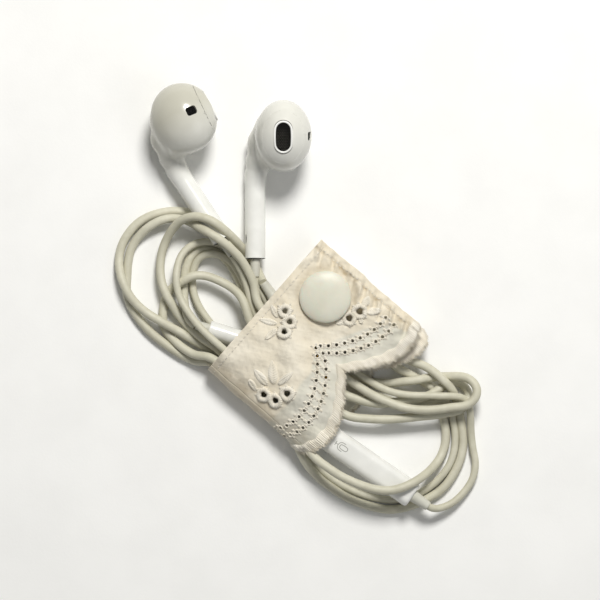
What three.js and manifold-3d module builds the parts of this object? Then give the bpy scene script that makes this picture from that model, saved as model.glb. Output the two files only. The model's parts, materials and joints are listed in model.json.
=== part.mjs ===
// Wired earphones, wound into a hank that a lace cord wrap holds. Millimetres, +Z up.
// The hank lies flat on z = 0. The wrap's own frame has x along the bundle of cord and
// y across it, towards the earbuds.
import * as THREE from 'three';
import { mergeVertices } from 'three/addons/utils/BufferGeometryUtils.js';
import Module from 'manifold-3d';

const wasm = await Module();
wasm.setup();

// ---------- Driving dimensions ----------
const GAP = 0.3;
const ORIGIN = { x: 1.24, y: -0.32 };

const BUD = {
  headCentre: [6.7, 28.9, 8.1],
  headRadii: [6.75, 8.85, 8.0],
  noseTilt: 8,
  wall: 0.9,
  stemRadius: 2.45,
  stemBore: 1.5,
  stemTop: 19.5,
  seamHeight: 5.3,
};
const GRILLE = { width: 4.0, length: 7.6, thickness: 0.5, recess: 6.55 };
const VENT = { width: 2.5, height: 2.0, thickness: 0.5, angle: 22 };
const DRIVER = { basketRadius: 4.6, magnetRadius: 3.0, coilRadius: 2.0 };
const BUD_BOOT = { length: 4.4, rootRadius: 1.3, tipRadius: 1.05 };

const RIGHT_BUD = { x: -8.2, y: 8.7, z: 4.0, roll: 0, tilt: -4, turn: 0 };
const LEFT_BUD = { x: -16.0, y: 13.1, z: 5.9, roll: 90, tilt: -6, turn: 33.3 };

const WRAP = {
  x: 7.4,
  y: 13.0,
  turn: -41.2,
  across: 41,
  along: 30,
  cloth: 0.8,
  height: 10.4,
  flapHinge: 34.5,
  tabEnd: 15.7,
  tabHeight: 6.2,
};
const SNAP = { x: 9.7, y: -9.4, capRadius: 6.2, pinRadius: 0.8 };

const REMOTE = { x: 15.7, y: -38.4, z: 4.7, turn: -34.6, length: 33.4, width: 6.4, height: 4.2, wall: 0.8 };
const BUTTONS = [
  { name: 'volume_up_button', x: -7.6, length: 6.6 },
  { name: 'centre_button', x: 0, length: 6.0 },
  { name: 'volume_down_button', x: 7.6, length: 6.6 },
];
const SPLITTER = { x: -19.2, y: -8.1, z: 4.5, turn: -17.6, length: 15.8, radius: 2.1 };
const PLUG = { x: -3.6, y: -16.6, z: 4.9, turn: -14, bootLength: 7, housingLength: 8.5, radius: 2.5 };
const CORD = { mainRadius: 1.05, branchRadius: 0.88 };

const COLOURS = {
  shell: 0xf2f1ea,
  mesh: 0x1a1a17,
  cord: 0xd0cfbd,
  boot: 0xbdbcae,
  metal: 0xd9d6cd,
  gold: 0xd8bd7a,
  magnet: 0x8a8d90,
  film: 0xd8cfae,
  board: 0x2f6b45,
  black: 0x202020,
  cloth: 0xf0e8d6,
  snap: 0xe0dfd0,
};

// ---------- Helpers ----------
const root = new THREE.Group();
const rad = THREE.MathUtils.degToRad;

/** Six times the signed volume of an indexed geometry: it is negative where the faces point inwards. */
function signedVolume(geometry) {
  const { position } = geometry.attributes;
  const corner = (place) => new THREE.Vector3().fromBufferAttribute(position, geometry.index.getX(place));
  let sum = 0;
  for (let face = 0; face < geometry.index.count; face += 3) {
    sum += corner(face).dot(corner(face + 1).cross(corner(face + 2)));
  }
  return sum;
}

/** The same geometry with its shared vertices merged and its faces pointing out. */
function closed(geometry) {
  const work = geometry.index ? geometry.toNonIndexed() : geometry.clone();
  work.deleteAttribute('normal');
  work.deleteAttribute('uv');
  const merged = mergeVertices(work, 1e-4);
  if (signedVolume(merged) < 0) merged.index.array.reverse();
  return merged;
}

/** A closed solid from any three.js geometry, moved by a matrix where one is given. */
function solid(geometry, matrix) {
  const work = closed(geometry);
  if (matrix) work.applyMatrix4(matrix);
  const mesh = new wasm.Mesh({
    numProp: 3,
    vertProperties: new Float32Array(work.attributes.position.array),
    triVerts: new Uint32Array(work.index.array),
  });
  return new wasm.Manifold(mesh);
}

/** The three.js geometry of a solid. */
function geometryOf(body) {
  const mesh = body.getMesh();
  const geometry = new THREE.BufferGeometry();
  geometry.setAttribute('position', new THREE.BufferAttribute(new Float32Array(mesh.vertProperties), 3));
  geometry.setIndex(new THREE.BufferAttribute(new Uint32Array(mesh.triVerts), 1));
  geometry.computeVertexNormals();
  return geometry;
}

/** A matrix from a position and a turn about each axis in degrees. */
function place(x, y, z, turnX = 0, turnY = 0, turnZ = 0) {
  const turn = new THREE.Quaternion().setFromEuler(new THREE.Euler(rad(turnX), rad(turnY), rad(turnZ)));
  return new THREE.Matrix4().compose(new THREE.Vector3(x, y, z), turn, new THREE.Vector3(1, 1, 1));
}

/** Adds a named mesh to a group. */
function add(parent, name, shape, colour, roughness = 0.45, metalness = 0) {
  const geometry = geometryOf(shape.isBufferGeometry ? solid(shape) : shape);
  const material = new THREE.MeshStandardMaterial({ color: colour, roughness, metalness });
  const mesh = new THREE.Mesh(geometry, material);
  mesh.name = name;
  parent.add(mesh);
  return mesh;
}

/** A solid turned about the Y axis from a profile of [radius, height] points. */
function turned(points, sides = 16) {
  const profile = points.map(([radius, height]) => new THREE.Vector2(radius, height));
  return new THREE.LatheGeometry(profile, sides);
}

/** A turned solid laid along +X. */
function turnedAlongX(points, sides = 16) {
  return turned(points, sides).rotateZ(-Math.PI / 2);
}

/** A solid rod along +X from start to end. */
function rod(radius, start, end, sides = 16) {
  return turnedAlongX([[0, start], [radius, start], [radius, end], [0, end]], sides);
}

/** A stadium outline, its long side along Y. */
function stadium(width, length) {
  const radius = width / 2;
  const half = length / 2 - radius;
  const shape = new THREE.Shape();
  shape.absarc(0, half, radius, 0, Math.PI);
  shape.absarc(0, -half, radius, Math.PI, 2 * Math.PI);
  return shape;
}

/** A rectangle with round corners, centred. */
function roundedRectangle(width, height, radius) {
  const x = width / 2 - radius;
  const y = height / 2 - radius;
  const shape = new THREE.Shape();
  shape.absarc(x, y, radius, 0, Math.PI / 2);
  shape.absarc(-x, y, radius, Math.PI / 2, Math.PI);
  shape.absarc(-x, -y, radius, Math.PI, 1.5 * Math.PI);
  shape.absarc(x, -y, radius, 1.5 * Math.PI, 2 * Math.PI);
  return shape;
}

/** A flat plate of an outline, its base at z = 0. */
function plate(shape, thickness, curveSegments = 8) {
  return new THREE.ExtrudeGeometry(shape, { depth: thickness, bevelEnabled: false, curveSegments });
}

/** A box given by its lowest and highest corners. */
function boxBetween(low, high) {
  const [width, depth, height] = high.map((value, axis) => value - low[axis]);
  const box = new THREE.BoxGeometry(width, depth, height);
  return box.translate((low[0] + high[0]) / 2, (low[1] + high[1]) / 2, (low[2] + high[2]) / 2);
}

/** A smooth closed outline through hand-chosen points. */
function smoothOutline(points, divisions) {
  const curve = new THREE.CatmullRomCurve3(points.map(([x, y]) => new THREE.Vector3(x, y, 0)), true);
  const ring = curve.getSpacedPoints(divisions).slice(0, -1);
  return ring.map((point) => new THREE.Vector2(point.x, point.y));
}

// ---------- Earbuds ----------
/** An ellipsoid of the head's shape, smaller than it by an inset, in the nose's frame. */
function headEllipsoid(inset, sides) {
  const [rx, ry, rz] = BUD.headRadii.map((radius) => radius - inset);
  return new THREE.SphereGeometry(1, sides, sides - 4).rotateX(Math.PI / 2).scale(rx, ry, rz);
}

function makeBud(side, name, spot) {
  const group = new THREE.Group();
  group.position.set(spot.x, spot.y, spot.z);
  group.rotation.set(rad(spot.tilt), rad(spot.roll), rad(spot.turn), 'ZXY');
  root.add(group);

  const [headX, headY, headZ] = BUD.headCentre;
  const noseFrame = place(side * headX, headY, headZ, BUD.noseTilt);
  const nose = new THREE.Group();
  noseFrame.decompose(nose.position, nose.quaternion, nose.scale);
  group.add(nose);

  // The stem runs along -Y to its end at y = 0, and a neck widens from it into the head.
  const { stemRadius, stemBore, stemTop, wall } = BUD;
  const stemEdge = 0.3;
  const neckBase = new THREE.Vector3(0, 19, 0);
  const neckTop = new THREE.Vector3(side * 2.6, 28.5, 3.6);
  const neckAxis = neckTop.clone().sub(neckBase);
  const neckTurn = new THREE.Quaternion().setFromUnitVectors(
    new THREE.Vector3(0, 1, 0),
    neckAxis.clone().normalize(),
  );
  const neckFrame = new THREE.Matrix4().compose(neckBase, neckTurn, new THREE.Vector3(1, 1, 1));
  const neck = (inset) => {
    const length = neckAxis.length();
    const shape = turned([[0, 0], [2.35 - inset, 0], [3.4 - inset, length], [0, length]], 15);
    return solid(shape, neckFrame);
  };
  const stem = turned([
    [0, 0],
    [stemRadius - stemEdge, 0],
    [stemRadius, stemEdge],
    [stemRadius, stemTop],
    [stemRadius * 0.85, stemTop + stemRadius * 0.5],
    [stemRadius * 0.5, stemTop + stemRadius * 0.85],
    [0, stemTop + stemRadius],
  ], 18);
  const outer = solid(headEllipsoid(0, 20), noseFrame).add(solid(stem)).add(neck(0));
  const bore = turned([[0, -1], [stemBore, -1], [stemBore, stemTop + 1], [0, stemTop + 1]], 12);
  const hollow = solid(headEllipsoid(wall, 16), noseFrame).add(solid(bore)).add(neck(wall));

  const { seamHeight } = BUD;
  const reach = 30;
  const frontRegion = solid(boxBetween([-reach, -reach, seamHeight], [reach, reach, reach]), noseFrame);
  const keepOut = boxBetween([-reach, -reach, seamHeight - GAP], [reach, reach, reach]);
  const grilleHole = plate(stadium(GRILLE.width + 2 * GAP, GRILLE.length + 2 * GAP), 6);
  const ventFrame = noseFrame.clone().multiply(place(0, 0, 0, 0, side * (90 - VENT.angle)));
  const ventHole = boxBetween(
    [-VENT.width / 2 - GAP, -VENT.height / 2 - GAP, 4],
    [VENT.width / 2 + GAP, VENT.height / 2 + GAP, 10],
  );
  const shell = outer.subtract(hollow);
  const front = shell.intersect(frontRegion).subtract(
    solid(grilleHole.translate(0, 0, seamHeight), noseFrame),
  );
  const rear = shell.subtract(solid(keepOut, noseFrame)).subtract(solid(ventHole, ventFrame));
  add(group, `${name}_front_shell`, front, COLOURS.shell, 0.18);
  add(group, `${name}_rear_shell`, rear, COLOURS.shell, 0.18);

  const grille = plate(stadium(GRILLE.width, GRILLE.length), GRILLE.thickness, 6);
  add(nose, `${name}_front_grille`, grille.translate(0, 0, GRILLE.recess), COLOURS.mesh, 0.5, 0.6);
  const ventGrille = boxBetween(
    [-VENT.width / 2, -VENT.height / 2, 0],
    [VENT.width / 2, VENT.height / 2, VENT.thickness],
  );
  const ventDepth = 5.9;
  add(
    group,
    `${name}_side_grille`,
    solid(ventGrille.translate(0, 0, ventDepth), ventFrame),
    COLOURS.mesh,
    0.5,
    0.6,
  );

  // The driver: a cup of the basket, a magnet behind it, and a domed diaphragm with its coil.
  const { basketRadius, magnetRadius, coilRadius } = DRIVER;
  const basket = turned([
    [magnetRadius, 0.6],
    [basketRadius - 1, 0.6],
    [basketRadius - 0.6, 2.4],
    [basketRadius, 2.4],
    [basketRadius, 3.0],
    [basketRadius - 1, 3.0],
    [basketRadius - 1.5, 1.2],
    [magnetRadius, 1.2],
    [magnetRadius, 0.6],
  ], 18).rotateX(Math.PI / 2);
  add(nose, `${name}_driver_basket`, basket, COLOURS.black, 0.5);
  const magnet = new THREE.CylinderGeometry(magnetRadius - 0.4, magnetRadius - 0.4, 2.2, 20);
  magnet.rotateX(Math.PI / 2).translate(0, 0, -0.9);
  add(nose, `${name}_driver_magnet`, magnet, COLOURS.magnet, 0.3, 0.9);
  const diaphragm = turned([
    [0, 4.1],
    [coilRadius - 0.3, 3.8],
    [coilRadius - 0.3, 1.6],
    [coilRadius, 1.6],
    [coilRadius, 3.7],
    [basketRadius - 0.9, 4.1],
    [basketRadius - 0.1, 3.7],
    [basketRadius - 0.1, 3.85],
    [basketRadius - 0.9, 4.3],
    [coilRadius - 0.1, 4.0],
    [0, 4.35],
  ], 18).rotateX(Math.PI / 2);
  add(nose, `${name}_driver_diaphragm`, diaphragm, COLOURS.film, 0.4);

  const { length, rootRadius, tipRadius } = BUD_BOOT;
  const plugDepth = 1.4;
  const boot = turned([
    [0, -length],
    [tipRadius, -length],
    [rootRadius, -0.4],
    [rootRadius - 0.1, plugDepth],
    [0, plugDepth],
  ], 14);
  add(group, `${name}_boot`, boot, COLOURS.boot, 0.6);

  group.updateMatrixWorld(true);
  const channelRadius = stemRadius + 0.35;
  const channel = turned([[0, -length - 1], [channelRadius, -length - 1], [channelRadius, 16], [0, 16]], 16);
  return solid(channel, group.matrixWorld);
}

// ---------- Inline remote ----------
function makeRemote() {
  const { length, width, height, wall } = REMOTE;
  const group = new THREE.Group();
  group.position.set(REMOTE.x, REMOTE.y, REMOTE.z);
  group.rotation.z = rad(REMOTE.turn);
  root.add(group);

  // The casing is a rounded bar along X, hollow, and parted in a level plane.
  const bar = (inset) => {
    const outline = roundedRectangle(width - 2 * inset, height - 2 * inset, 1.9 - inset);
    const barLength = length - 2 * inset;
    const bevel = 0.8;
    const body = new THREE.ExtrudeGeometry(outline, {
      depth: barLength - 2 * bevel,
      bevelThickness: bevel,
      bevelSize: bevel / 2,
      bevelOffset: -bevel / 2,
      bevelSegments: 1,
      curveSegments: 4,
    });
    body.translate(0, 0, -barLength / 2 + bevel).rotateX(Math.PI / 2).rotateZ(Math.PI / 2);
    return solid(body);
  };
  const cordBore = solid(rod(1.15, -length, length, 12));
  const casing = bar(0).subtract(bar(wall)).subtract(cordBore);
  const half = length;
  const above = solid(boxBetween([-half, -half, GAP / 2], [half, half, half]));
  const below = solid(boxBetween([-half, -half, -half], [half, half, -GAP / 2]));

  const micX = 2;
  const micDrill = new THREE.CylinderGeometry(0.5, 0.5, height, 10).rotateX(Math.PI / 2);
  const micPort = solid(micDrill, place(micX, 0, height / 2));
  add(group, 'remote_back_cover', casing.intersect(above).subtract(micPort), COLOURS.shell, 0.22);

  const buttonWidth = 3.6;
  const buttonDepth = 1.45;
  const proud = 0.35;
  const buttonBase = -height / 2 - proud;
  let front = casing.intersect(below);
  for (const button of BUTTONS) {
    const opening = plate(roundedRectangle(button.length + 2 * GAP, buttonWidth + 2 * GAP, 1.5), wall + 2, 4);
    front = front.subtract(solid(opening, place(button.x, 0, -height / 2 - 1)));
    const cap = plate(roundedRectangle(button.length, buttonWidth, 1.2), buttonDepth, 4);
    add(group, button.name, cap.translate(button.x, 0, buttonBase), COLOURS.shell, 0.3);
  }
  add(group, 'remote_front_cover', front, COLOURS.shell, 0.22);

  const boardThickness = 0.5;
  const boardBase = -0.35;
  const board = boxBetween([-12.6, -2.1, boardBase], [12.6, 2.1, boardBase + boardThickness]);
  add(group, 'remote_circuit_board', board, COLOURS.board, 0.5);
  const domeHeight = 0.25;
  BUTTONS.forEach((button, index) => {
    const dome = turned([[0, 0], [1.5, 0], [1.1, -domeHeight + 0.05], [0, -domeHeight]], 12);
    dome.rotateX(Math.PI / 2).translate(button.x, 0, boardBase - 0.05);
    add(group, `remote_dome_switch_${index + 1}`, dome, COLOURS.metal, 0.3, 0.9);
  });
  const capsule = new THREE.CylinderGeometry(1.2, 1.2, 0.7, 14).rotateX(Math.PI / 2);
  const capsuleBase = boardBase + boardThickness + 0.05;
  add(group, 'remote_microphone', capsule.translate(micX, 0, capsuleBase + 0.35), COLOURS.metal, 0.4, 0.8);

  const bootProfile = (reach) => [[0, -0.5], [0.9, -0.5], [0.9, 0.3], [1.45, 0.3], [1.05, reach], [0, reach]];
  const upperBoot = turnedAlongX(bootProfile(5.6), 12).rotateZ(Math.PI).translate(-length / 2, 0, 0);
  add(group, 'remote_upper_boot', upperBoot, COLOURS.boot, 0.6);
  const lowerBoot = turnedAlongX(bootProfile(4.4), 12).translate(length / 2, 0, 0);
  add(group, 'remote_lower_boot', lowerBoot, COLOURS.boot, 0.6);

  group.updateMatrixWorld(true);
  const body = boxBetween(
    [-length / 2 - 0.35, -width / 2 - 0.35, -height / 2 - proud - 0.65],
    [length / 2 + 0.35, width / 2 + 0.35, height / 2 + 0.35],
  );
  const boots = rod(1.8, -length / 2 - 6.2, length / 2 + 6.6, 12);
  return solid(body, group.matrixWorld).add(solid(boots, group.matrixWorld));
}

// ---------- Splitter ----------
function makeSplitter() {
  const { length, radius } = SPLITTER;
  const group = new THREE.Group();
  group.position.set(SPLITTER.x, SPLITTER.y, SPLITTER.z);
  group.rotation.z = rad(SPLITTER.turn);
  root.add(group);
  const bore = 1.45;
  const sleeve = turnedAlongX([
    [bore, 0],
    [radius - 0.35, 0],
    [radius, 0.5],
    [radius, length - 0.5],
    [radius - 0.35, length],
    [bore, length],
    [bore, 0],
  ], 20);
  add(group, 'splitter_sleeve', sleeve, COLOURS.shell, 0.25);
  const boot = turnedAlongX([[0, -3.2], [1.1, -3.2], [1.15, 3], [0, 3]], 14);
  add(group, 'splitter_boot', boot, COLOURS.boot, 0.6);
  group.updateMatrixWorld(true);
  const channel = rod(radius + 0.35, -3.6, length + 0.4, 16);
  return solid(channel, group.matrixWorld);
}

// ---------- Plug ----------
function makePlug(wrapGroup) {
  const group = new THREE.Group();
  group.position.set(PLUG.x, PLUG.y, PLUG.z);
  group.rotation.z = rad(PLUG.turn);
  wrapGroup.add(group);
  const { bootLength, housingLength, radius } = PLUG;
  const housingEnd = bootLength + housingLength;
  const boot = turnedAlongX([[0, 0], [1.1, 0], [1.9, bootLength - GAP], [0, bootLength - GAP]], 16);
  add(group, 'plug_boot', boot, COLOURS.boot, 0.6);
  const housing = turnedAlongX([
    [0, bootLength],
    [radius - 0.4, bootLength],
    [radius, bootLength + 0.6],
    [radius, housingEnd - 0.4],
    [radius - 0.4, housingEnd],
    [0, housingEnd],
  ], 20);
  add(group, 'plug_housing', housing, COLOURS.shell, 0.25);

  // The four-pole jack: contacts in a row on one insulator core, each 0.3 mm from the next.
  const coreRadius = 0.9;
  const boreRadius = coreRadius + 0.15;
  const jackRadius = 1.75;
  const jackStart = housingEnd + GAP;
  const contact = (start, end) => turnedAlongX([
    [boreRadius, start],
    [jackRadius, start],
    [jackRadius, end],
    [boreRadius, end],
    [boreRadius, start],
  ], 16);
  const contacts = [
    ['jack_sleeve', 0, 5.2],
    ['jack_ring_2', 5.8, 7.4],
    ['jack_ring_1', 8.0, 9.6],
  ];
  for (const [name, start, end] of contacts) {
    add(group, name, contact(jackStart + start, jackStart + end), COLOURS.gold, 0.25, 1);
  }
  const tipStart = jackStart + 10.5;
  const tip = turnedAlongX([
    [0, tipStart],
    [jackRadius, tipStart],
    [jackRadius, tipStart + 0.8],
    [1.25, tipStart + 1.5],
    [1.7, tipStart + 2.3],
    [0.6, tipStart + 3.5],
    [0, tipStart + 3.6],
  ], 16);
  add(group, 'jack_tip', tip, COLOURS.gold, 0.25, 1);
  const core = turnedAlongX([
    [0, jackStart + 0.05],
    [coreRadius, jackStart + 0.05],
    [coreRadius, tipStart - 0.6],
    [jackRadius - 0.05, tipStart - 0.6],
    [jackRadius - 0.05, tipStart - 0.3],
    [0, tipStart - 0.3],
  ], 16);
  add(group, 'jack_insulator', core, COLOURS.black, 0.5);
  group.updateMatrixWorld(true);
  const margin = 0.35;
  const channel = turnedAlongX([
    [0, -1.2],
    [2.3, -1.2],
    [2.3, bootLength - margin],
    [radius + margin, bootLength - margin],
    [radius + margin, housingEnd + margin],
    [jackRadius + margin, housingEnd + margin],
    [jackRadius + margin, tipStart + 4],
    [0, tipStart + 4],
  ], 16);
  return solid(channel, group.matrixWorld);
}

// ---------- Cord wrap and its snap ----------
function makeWrap() {
  const group = new THREE.Group();
  group.position.set(WRAP.x, WRAP.y, 0);
  group.rotation.z = rad(WRAP.turn);
  root.add(group);
  const { across, along, cloth, height, flapHinge, tabEnd, tabHeight } = WRAP;

  // The band's section in (y, z), extruded along X: the back, the fold that carries the
  // flap at y = -across, and the fold at y = 0 that ends in the tab under the flap.
  const outerFold = height / 2;
  const section = new THREE.Shape();
  section.moveTo(-flapHinge - GAP / 2, height);
  section.absarc(-across + outerFold, outerFold, outerFold, Math.PI / 2, 1.5 * Math.PI);
  const tabFold = (tabHeight + cloth) / 2;
  section.absarc(-tabFold, tabFold, tabFold, -Math.PI / 2, Math.PI / 2);
  section.lineTo(-tabEnd, tabHeight + cloth);
  section.lineTo(-tabEnd, tabHeight);
  section.absarc(-tabFold, tabFold, tabFold - cloth, Math.PI / 2, -Math.PI / 2, true);
  section.absarc(-across + outerFold, outerFold, outerFold - cloth, 1.5 * Math.PI, Math.PI / 2, true);
  section.lineTo(-flapHinge - GAP / 2, height - cloth);
  section.closePath();
  const band = plate(section, along, 8).rotateX(Math.PI / 2).rotateZ(Math.PI / 2);
  const pinHole = (radius) => new THREE.CylinderGeometry(radius, radius, 4 * height, 16).rotateX(Math.PI / 2);
  const holeFrame = place(SNAP.x, SNAP.y, 0);
  const tabOnly = solid(boxBetween([0, -across, cloth + 1], [along, 0, 2 * height]));
  const tabHole = solid(pinHole(SNAP.pinRadius + GAP), holeFrame).intersect(tabOnly);
  add(group, 'wrap_band', solid(band).subtract(tabHole), COLOURS.cloth, 0.9);

  // The flap: one straight edge, and two scallops along the other.
  const scallop = flapHinge / 3;
  const valley = along - 5;
  const flapOutline = new THREE.Shape();
  flapOutline.moveTo(0, 0);
  flapOutline.lineTo(along, 0);
  flapOutline.quadraticCurveTo(along + 6, -scallop * 0.8, valley, -scallop * 1.6);
  flapOutline.quadraticCurveTo(along + 6, -scallop * 2.2, along, -flapHinge + GAP / 2);
  flapOutline.lineTo(0, -flapHinge + GAP / 2);
  flapOutline.closePath();
  const flap = solid(plate(flapOutline, cloth, 8), place(0, 0, height - cloth));
  add(group, 'wrap_flap', flap.subtract(solid(pinHole(SNAP.pinRadius + GAP), holeFrame)), COLOURS.cloth, 0.9);

  // The snap, from the outside in: a domed cap whose pin holds the socket under the flap,
  // then the stud on the tab, held by the pin of the inner cap.
  const snap = new THREE.Group();
  snap.position.set(SNAP.x, SNAP.y, 0);
  group.add(snap);
  const { capRadius, pinRadius } = SNAP;
  const upright = (points) => turned(points, 20).rotateX(Math.PI / 2);
  const capBase = height + 0.2;
  add(snap, 'snap_cap_outer', upright([
    [0, height - 1.6],
    [pinRadius, height - 1.6],
    [pinRadius, capBase],
    [capRadius - 0.3, capBase],
    [capRadius, capBase + 0.35],
    [capRadius * 0.82, capBase + 1.1],
    [capRadius * 0.5, capBase + 1.6],
    [0, capBase + 1.8],
  ]), COLOURS.snap, 0.35);
  const socketTop = height - cloth - 0.1;
  const ring = pinRadius + 0.2;
  add(snap, 'snap_socket', upright([
    [ring, socketTop - 0.7],
    [ring, socketTop],
    [4.6, socketTop],
    [4.6, socketTop - 0.8],
    [3.4, socketTop - 1.3],
    [2.5, socketTop - 1.3],
    [2.5, socketTop - 0.7],
    [ring, socketTop - 0.7],
  ]), COLOURS.snap, 0.4);
  const studBase = tabHeight + cloth + 0.15;
  add(snap, 'snap_stud', upright([
    [ring, studBase],
    [4.4, studBase],
    [4.4, studBase + 0.4],
    [2.2, studBase + 0.4],
    [2.2, studBase + 1.3],
    [ring, studBase + 1.3],
    [ring, studBase],
  ]), COLOURS.snap, 0.4);
  const innerCap = tabHeight - 0.15;
  add(snap, 'snap_cap_inner', upright([
    [0, innerCap - 1.2],
    [capRadius * 0.6, innerCap - 1.0],
    [capRadius - 0.2, innerCap - 0.3],
    [capRadius - 0.3, innerCap],
    [pinRadius, innerCap],
    [pinRadius, studBase + 0.9],
    [0, studBase + 0.9],
  ]), COLOURS.snap, 0.35);
  group.updateMatrixWorld(true);
  return group;
}

// ---------- Hank of cord ----------
const LEFT_OUTLINE = [
  [-5.0, 1.6], [-7.0, 6.2], [-9.0, 10.5], [-12.8, 15.0], [-17.5, 18.8], [-23.0, 20.6], [-30.0, 21.2],
  [-36.0, 19.6], [-40.4, 16.0], [-42.2, 10.5], [-42.0, 5.0], [-40.3, 0.2], [-37.6, -3.4], [-33.2, -6.8],
  [-28.0, -9.6], [-23.8, -12.4], [-21.6, -15.6], [-19.4, -17.6], [-15.0, -12.6], [-10.2, -7.0], [-6.2, -2.4],
];
const LEFT_HOLE = [
  [-13.7, 6.6], [-16.1, 8.0], [-19.4, 8.1], [-21.8, 6.0], [-22.3, 2.9], [-21.8, -0.5], [-20.2, -3.4],
  [-17.0, -4.8], [-13.8, -4.2], [-12.0, -1.2], [-12.4, 3.0],
];
const LEFT_CRESCENT = [
  [-33.3, 14.1], [-35.2, 11.9], [-36.6, 7.9], [-36.6, 2.4], [-35.0, -1.9], [-32.0, -5.2], [-30.2, -6.6],
  [-31.2, -3.6], [-32.2, 1.2], [-32.2, 7.2], [-31.4, 11.2],
];
const RIGHT_OUTLINE = [
  [24.8, -11.0], [29.2, -14.5], [33.5, -16.5], [37.8, -18.6], [44.6, -21.8], [45.4, -24.2], [44.0, -26.2],
  [42.1, -28.0], [42.6, -31.5], [43.0, -35.3], [42.2, -39.4], [40.0, -43.6], [37.2, -47.0], [33.0, -49.6],
  [28.7, -51.5], [23.5, -52.3], [18.4, -51.5], [13.7, -49.6], [8.9, -46.7], [4.9, -43.1], [1.6, -38.6],
];
const RIGHT_HOLE = [
  [20.4, -31.2], [27.5, -31.0], [34.0, -30.8], [35.8, -33.2], [35.4, -36.5], [33.4, -39.8], [30.2, -42.6],
  [27.2, -43.6], [22.6, -40.6], [18.2, -36.4],
];
const FREE_LOOP = [
  [33.6, -50.75, 4.6], [36.4, -51.0, 3.3], [39.8, -49.8, 2.0], [43.1, -47.1, 1.2], [45.0, -43.9, 1.0],
  [45.6, -40.3, 1.0], [44.9, -37.3, 1.0], [43.9, -35.2, 1.0],
];

function makeHank(wrapGroup, channels) {
  const hankHeight = 5.6;
  const base = 0.1;
  const outlineSolid = (points, divisions, low, high) => {
    const shape = new THREE.Shape(smoothOutline(points, divisions));
    return solid(plate(shape, high - low), place(0, 0, low));
  };
  const inWrap = (low, high) => solid(boxBetween(low, high), wrapGroup.matrixWorld);
  const wide = 100;
  const leftSide = inWrap([-wide, -wide, -1], [-GAP, wide, wide]);
  const bundleEnd = WRAP.along + GAP;
  const rightSide = inWrap([bundleEnd, -wide, -1], [wide, wide, wide]);

  let left = outlineSolid(LEFT_OUTLINE, 48, base, hankHeight).intersect(leftSide);
  for (const hole of [LEFT_HOLE, LEFT_CRESCENT]) {
    left = left.subtract(outlineSolid(hole, 24, base - 1, hankHeight + 1));
  }
  let right = outlineSolid(RIGHT_OUTLINE, 48, base, hankHeight).intersect(rightSide);
  right = right.subtract(outlineSolid(RIGHT_HOLE, 24, base - 1, hankHeight + 1));
  const low = WRAP.cloth + GAP;
  const high = WRAP.height - WRAP.cloth - GAP;
  const foldRadius = (high - low) / 2;
  const farSide = -WRAP.across + WRAP.height / 2;
  const snapSide = -16.2;
  const roundSide = rod(foldRadius, 0, WRAP.along, 20).translate(0, farSide, WRAP.height / 2);
  let bundle = inWrap([0, farSide, low], [WRAP.along, snapSide, high]);
  bundle = bundle.add(solid(roundSide, wrapGroup.matrixWorld));
  bundle = bundle.add(inWrap([17, farSide, low], [WRAP.along, -7.5, WRAP.tabHeight - GAP]));
  for (const channel of channels) {
    left = left.subtract(channel);
    right = right.subtract(channel);
    bundle = bundle.subtract(channel);
  }
  add(root, 'main_cord_left_loops', left, COLOURS.cord, 0.6);
  add(root, 'main_cord_bundle', bundle, COLOURS.cord, 0.6);
  add(root, 'main_cord_right_loops', right, COLOURS.cord, 0.6);

  const route = new THREE.CatmullRomCurve3(FREE_LOOP.map(([x, y, z]) => new THREE.Vector3(x, y, z)));
  const circle = new THREE.Shape();
  circle.absarc(0, 0, CORD.branchRadius, 0, 2 * Math.PI);
  const tube = new THREE.ExtrudeGeometry(circle, { extrudePath: route, steps: 14, curveSegments: 8 });
  add(root, 'right_branch_cord', tube, COLOURS.cord, 0.6);
}

// ---------- Assembly ----------
root.position.set(ORIGIN.x, ORIGIN.y, 0);
const wrapGroup = makeWrap();
const channels = [
  makeBud(1, 'right_bud', RIGHT_BUD),
  makeBud(-1, 'left_bud', LEFT_BUD),
  makeRemote(),
  makeSplitter(),
  makePlug(wrapGroup),
];
makeHank(wrapGroup, channels);

export default root;
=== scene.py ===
"""Wired earphones wound in a hank and held by a lace cord wrap: the visual model."""
import json
import math

import bmesh
import bpy
import numpy as np
from mathutils import Matrix, Vector

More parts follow.
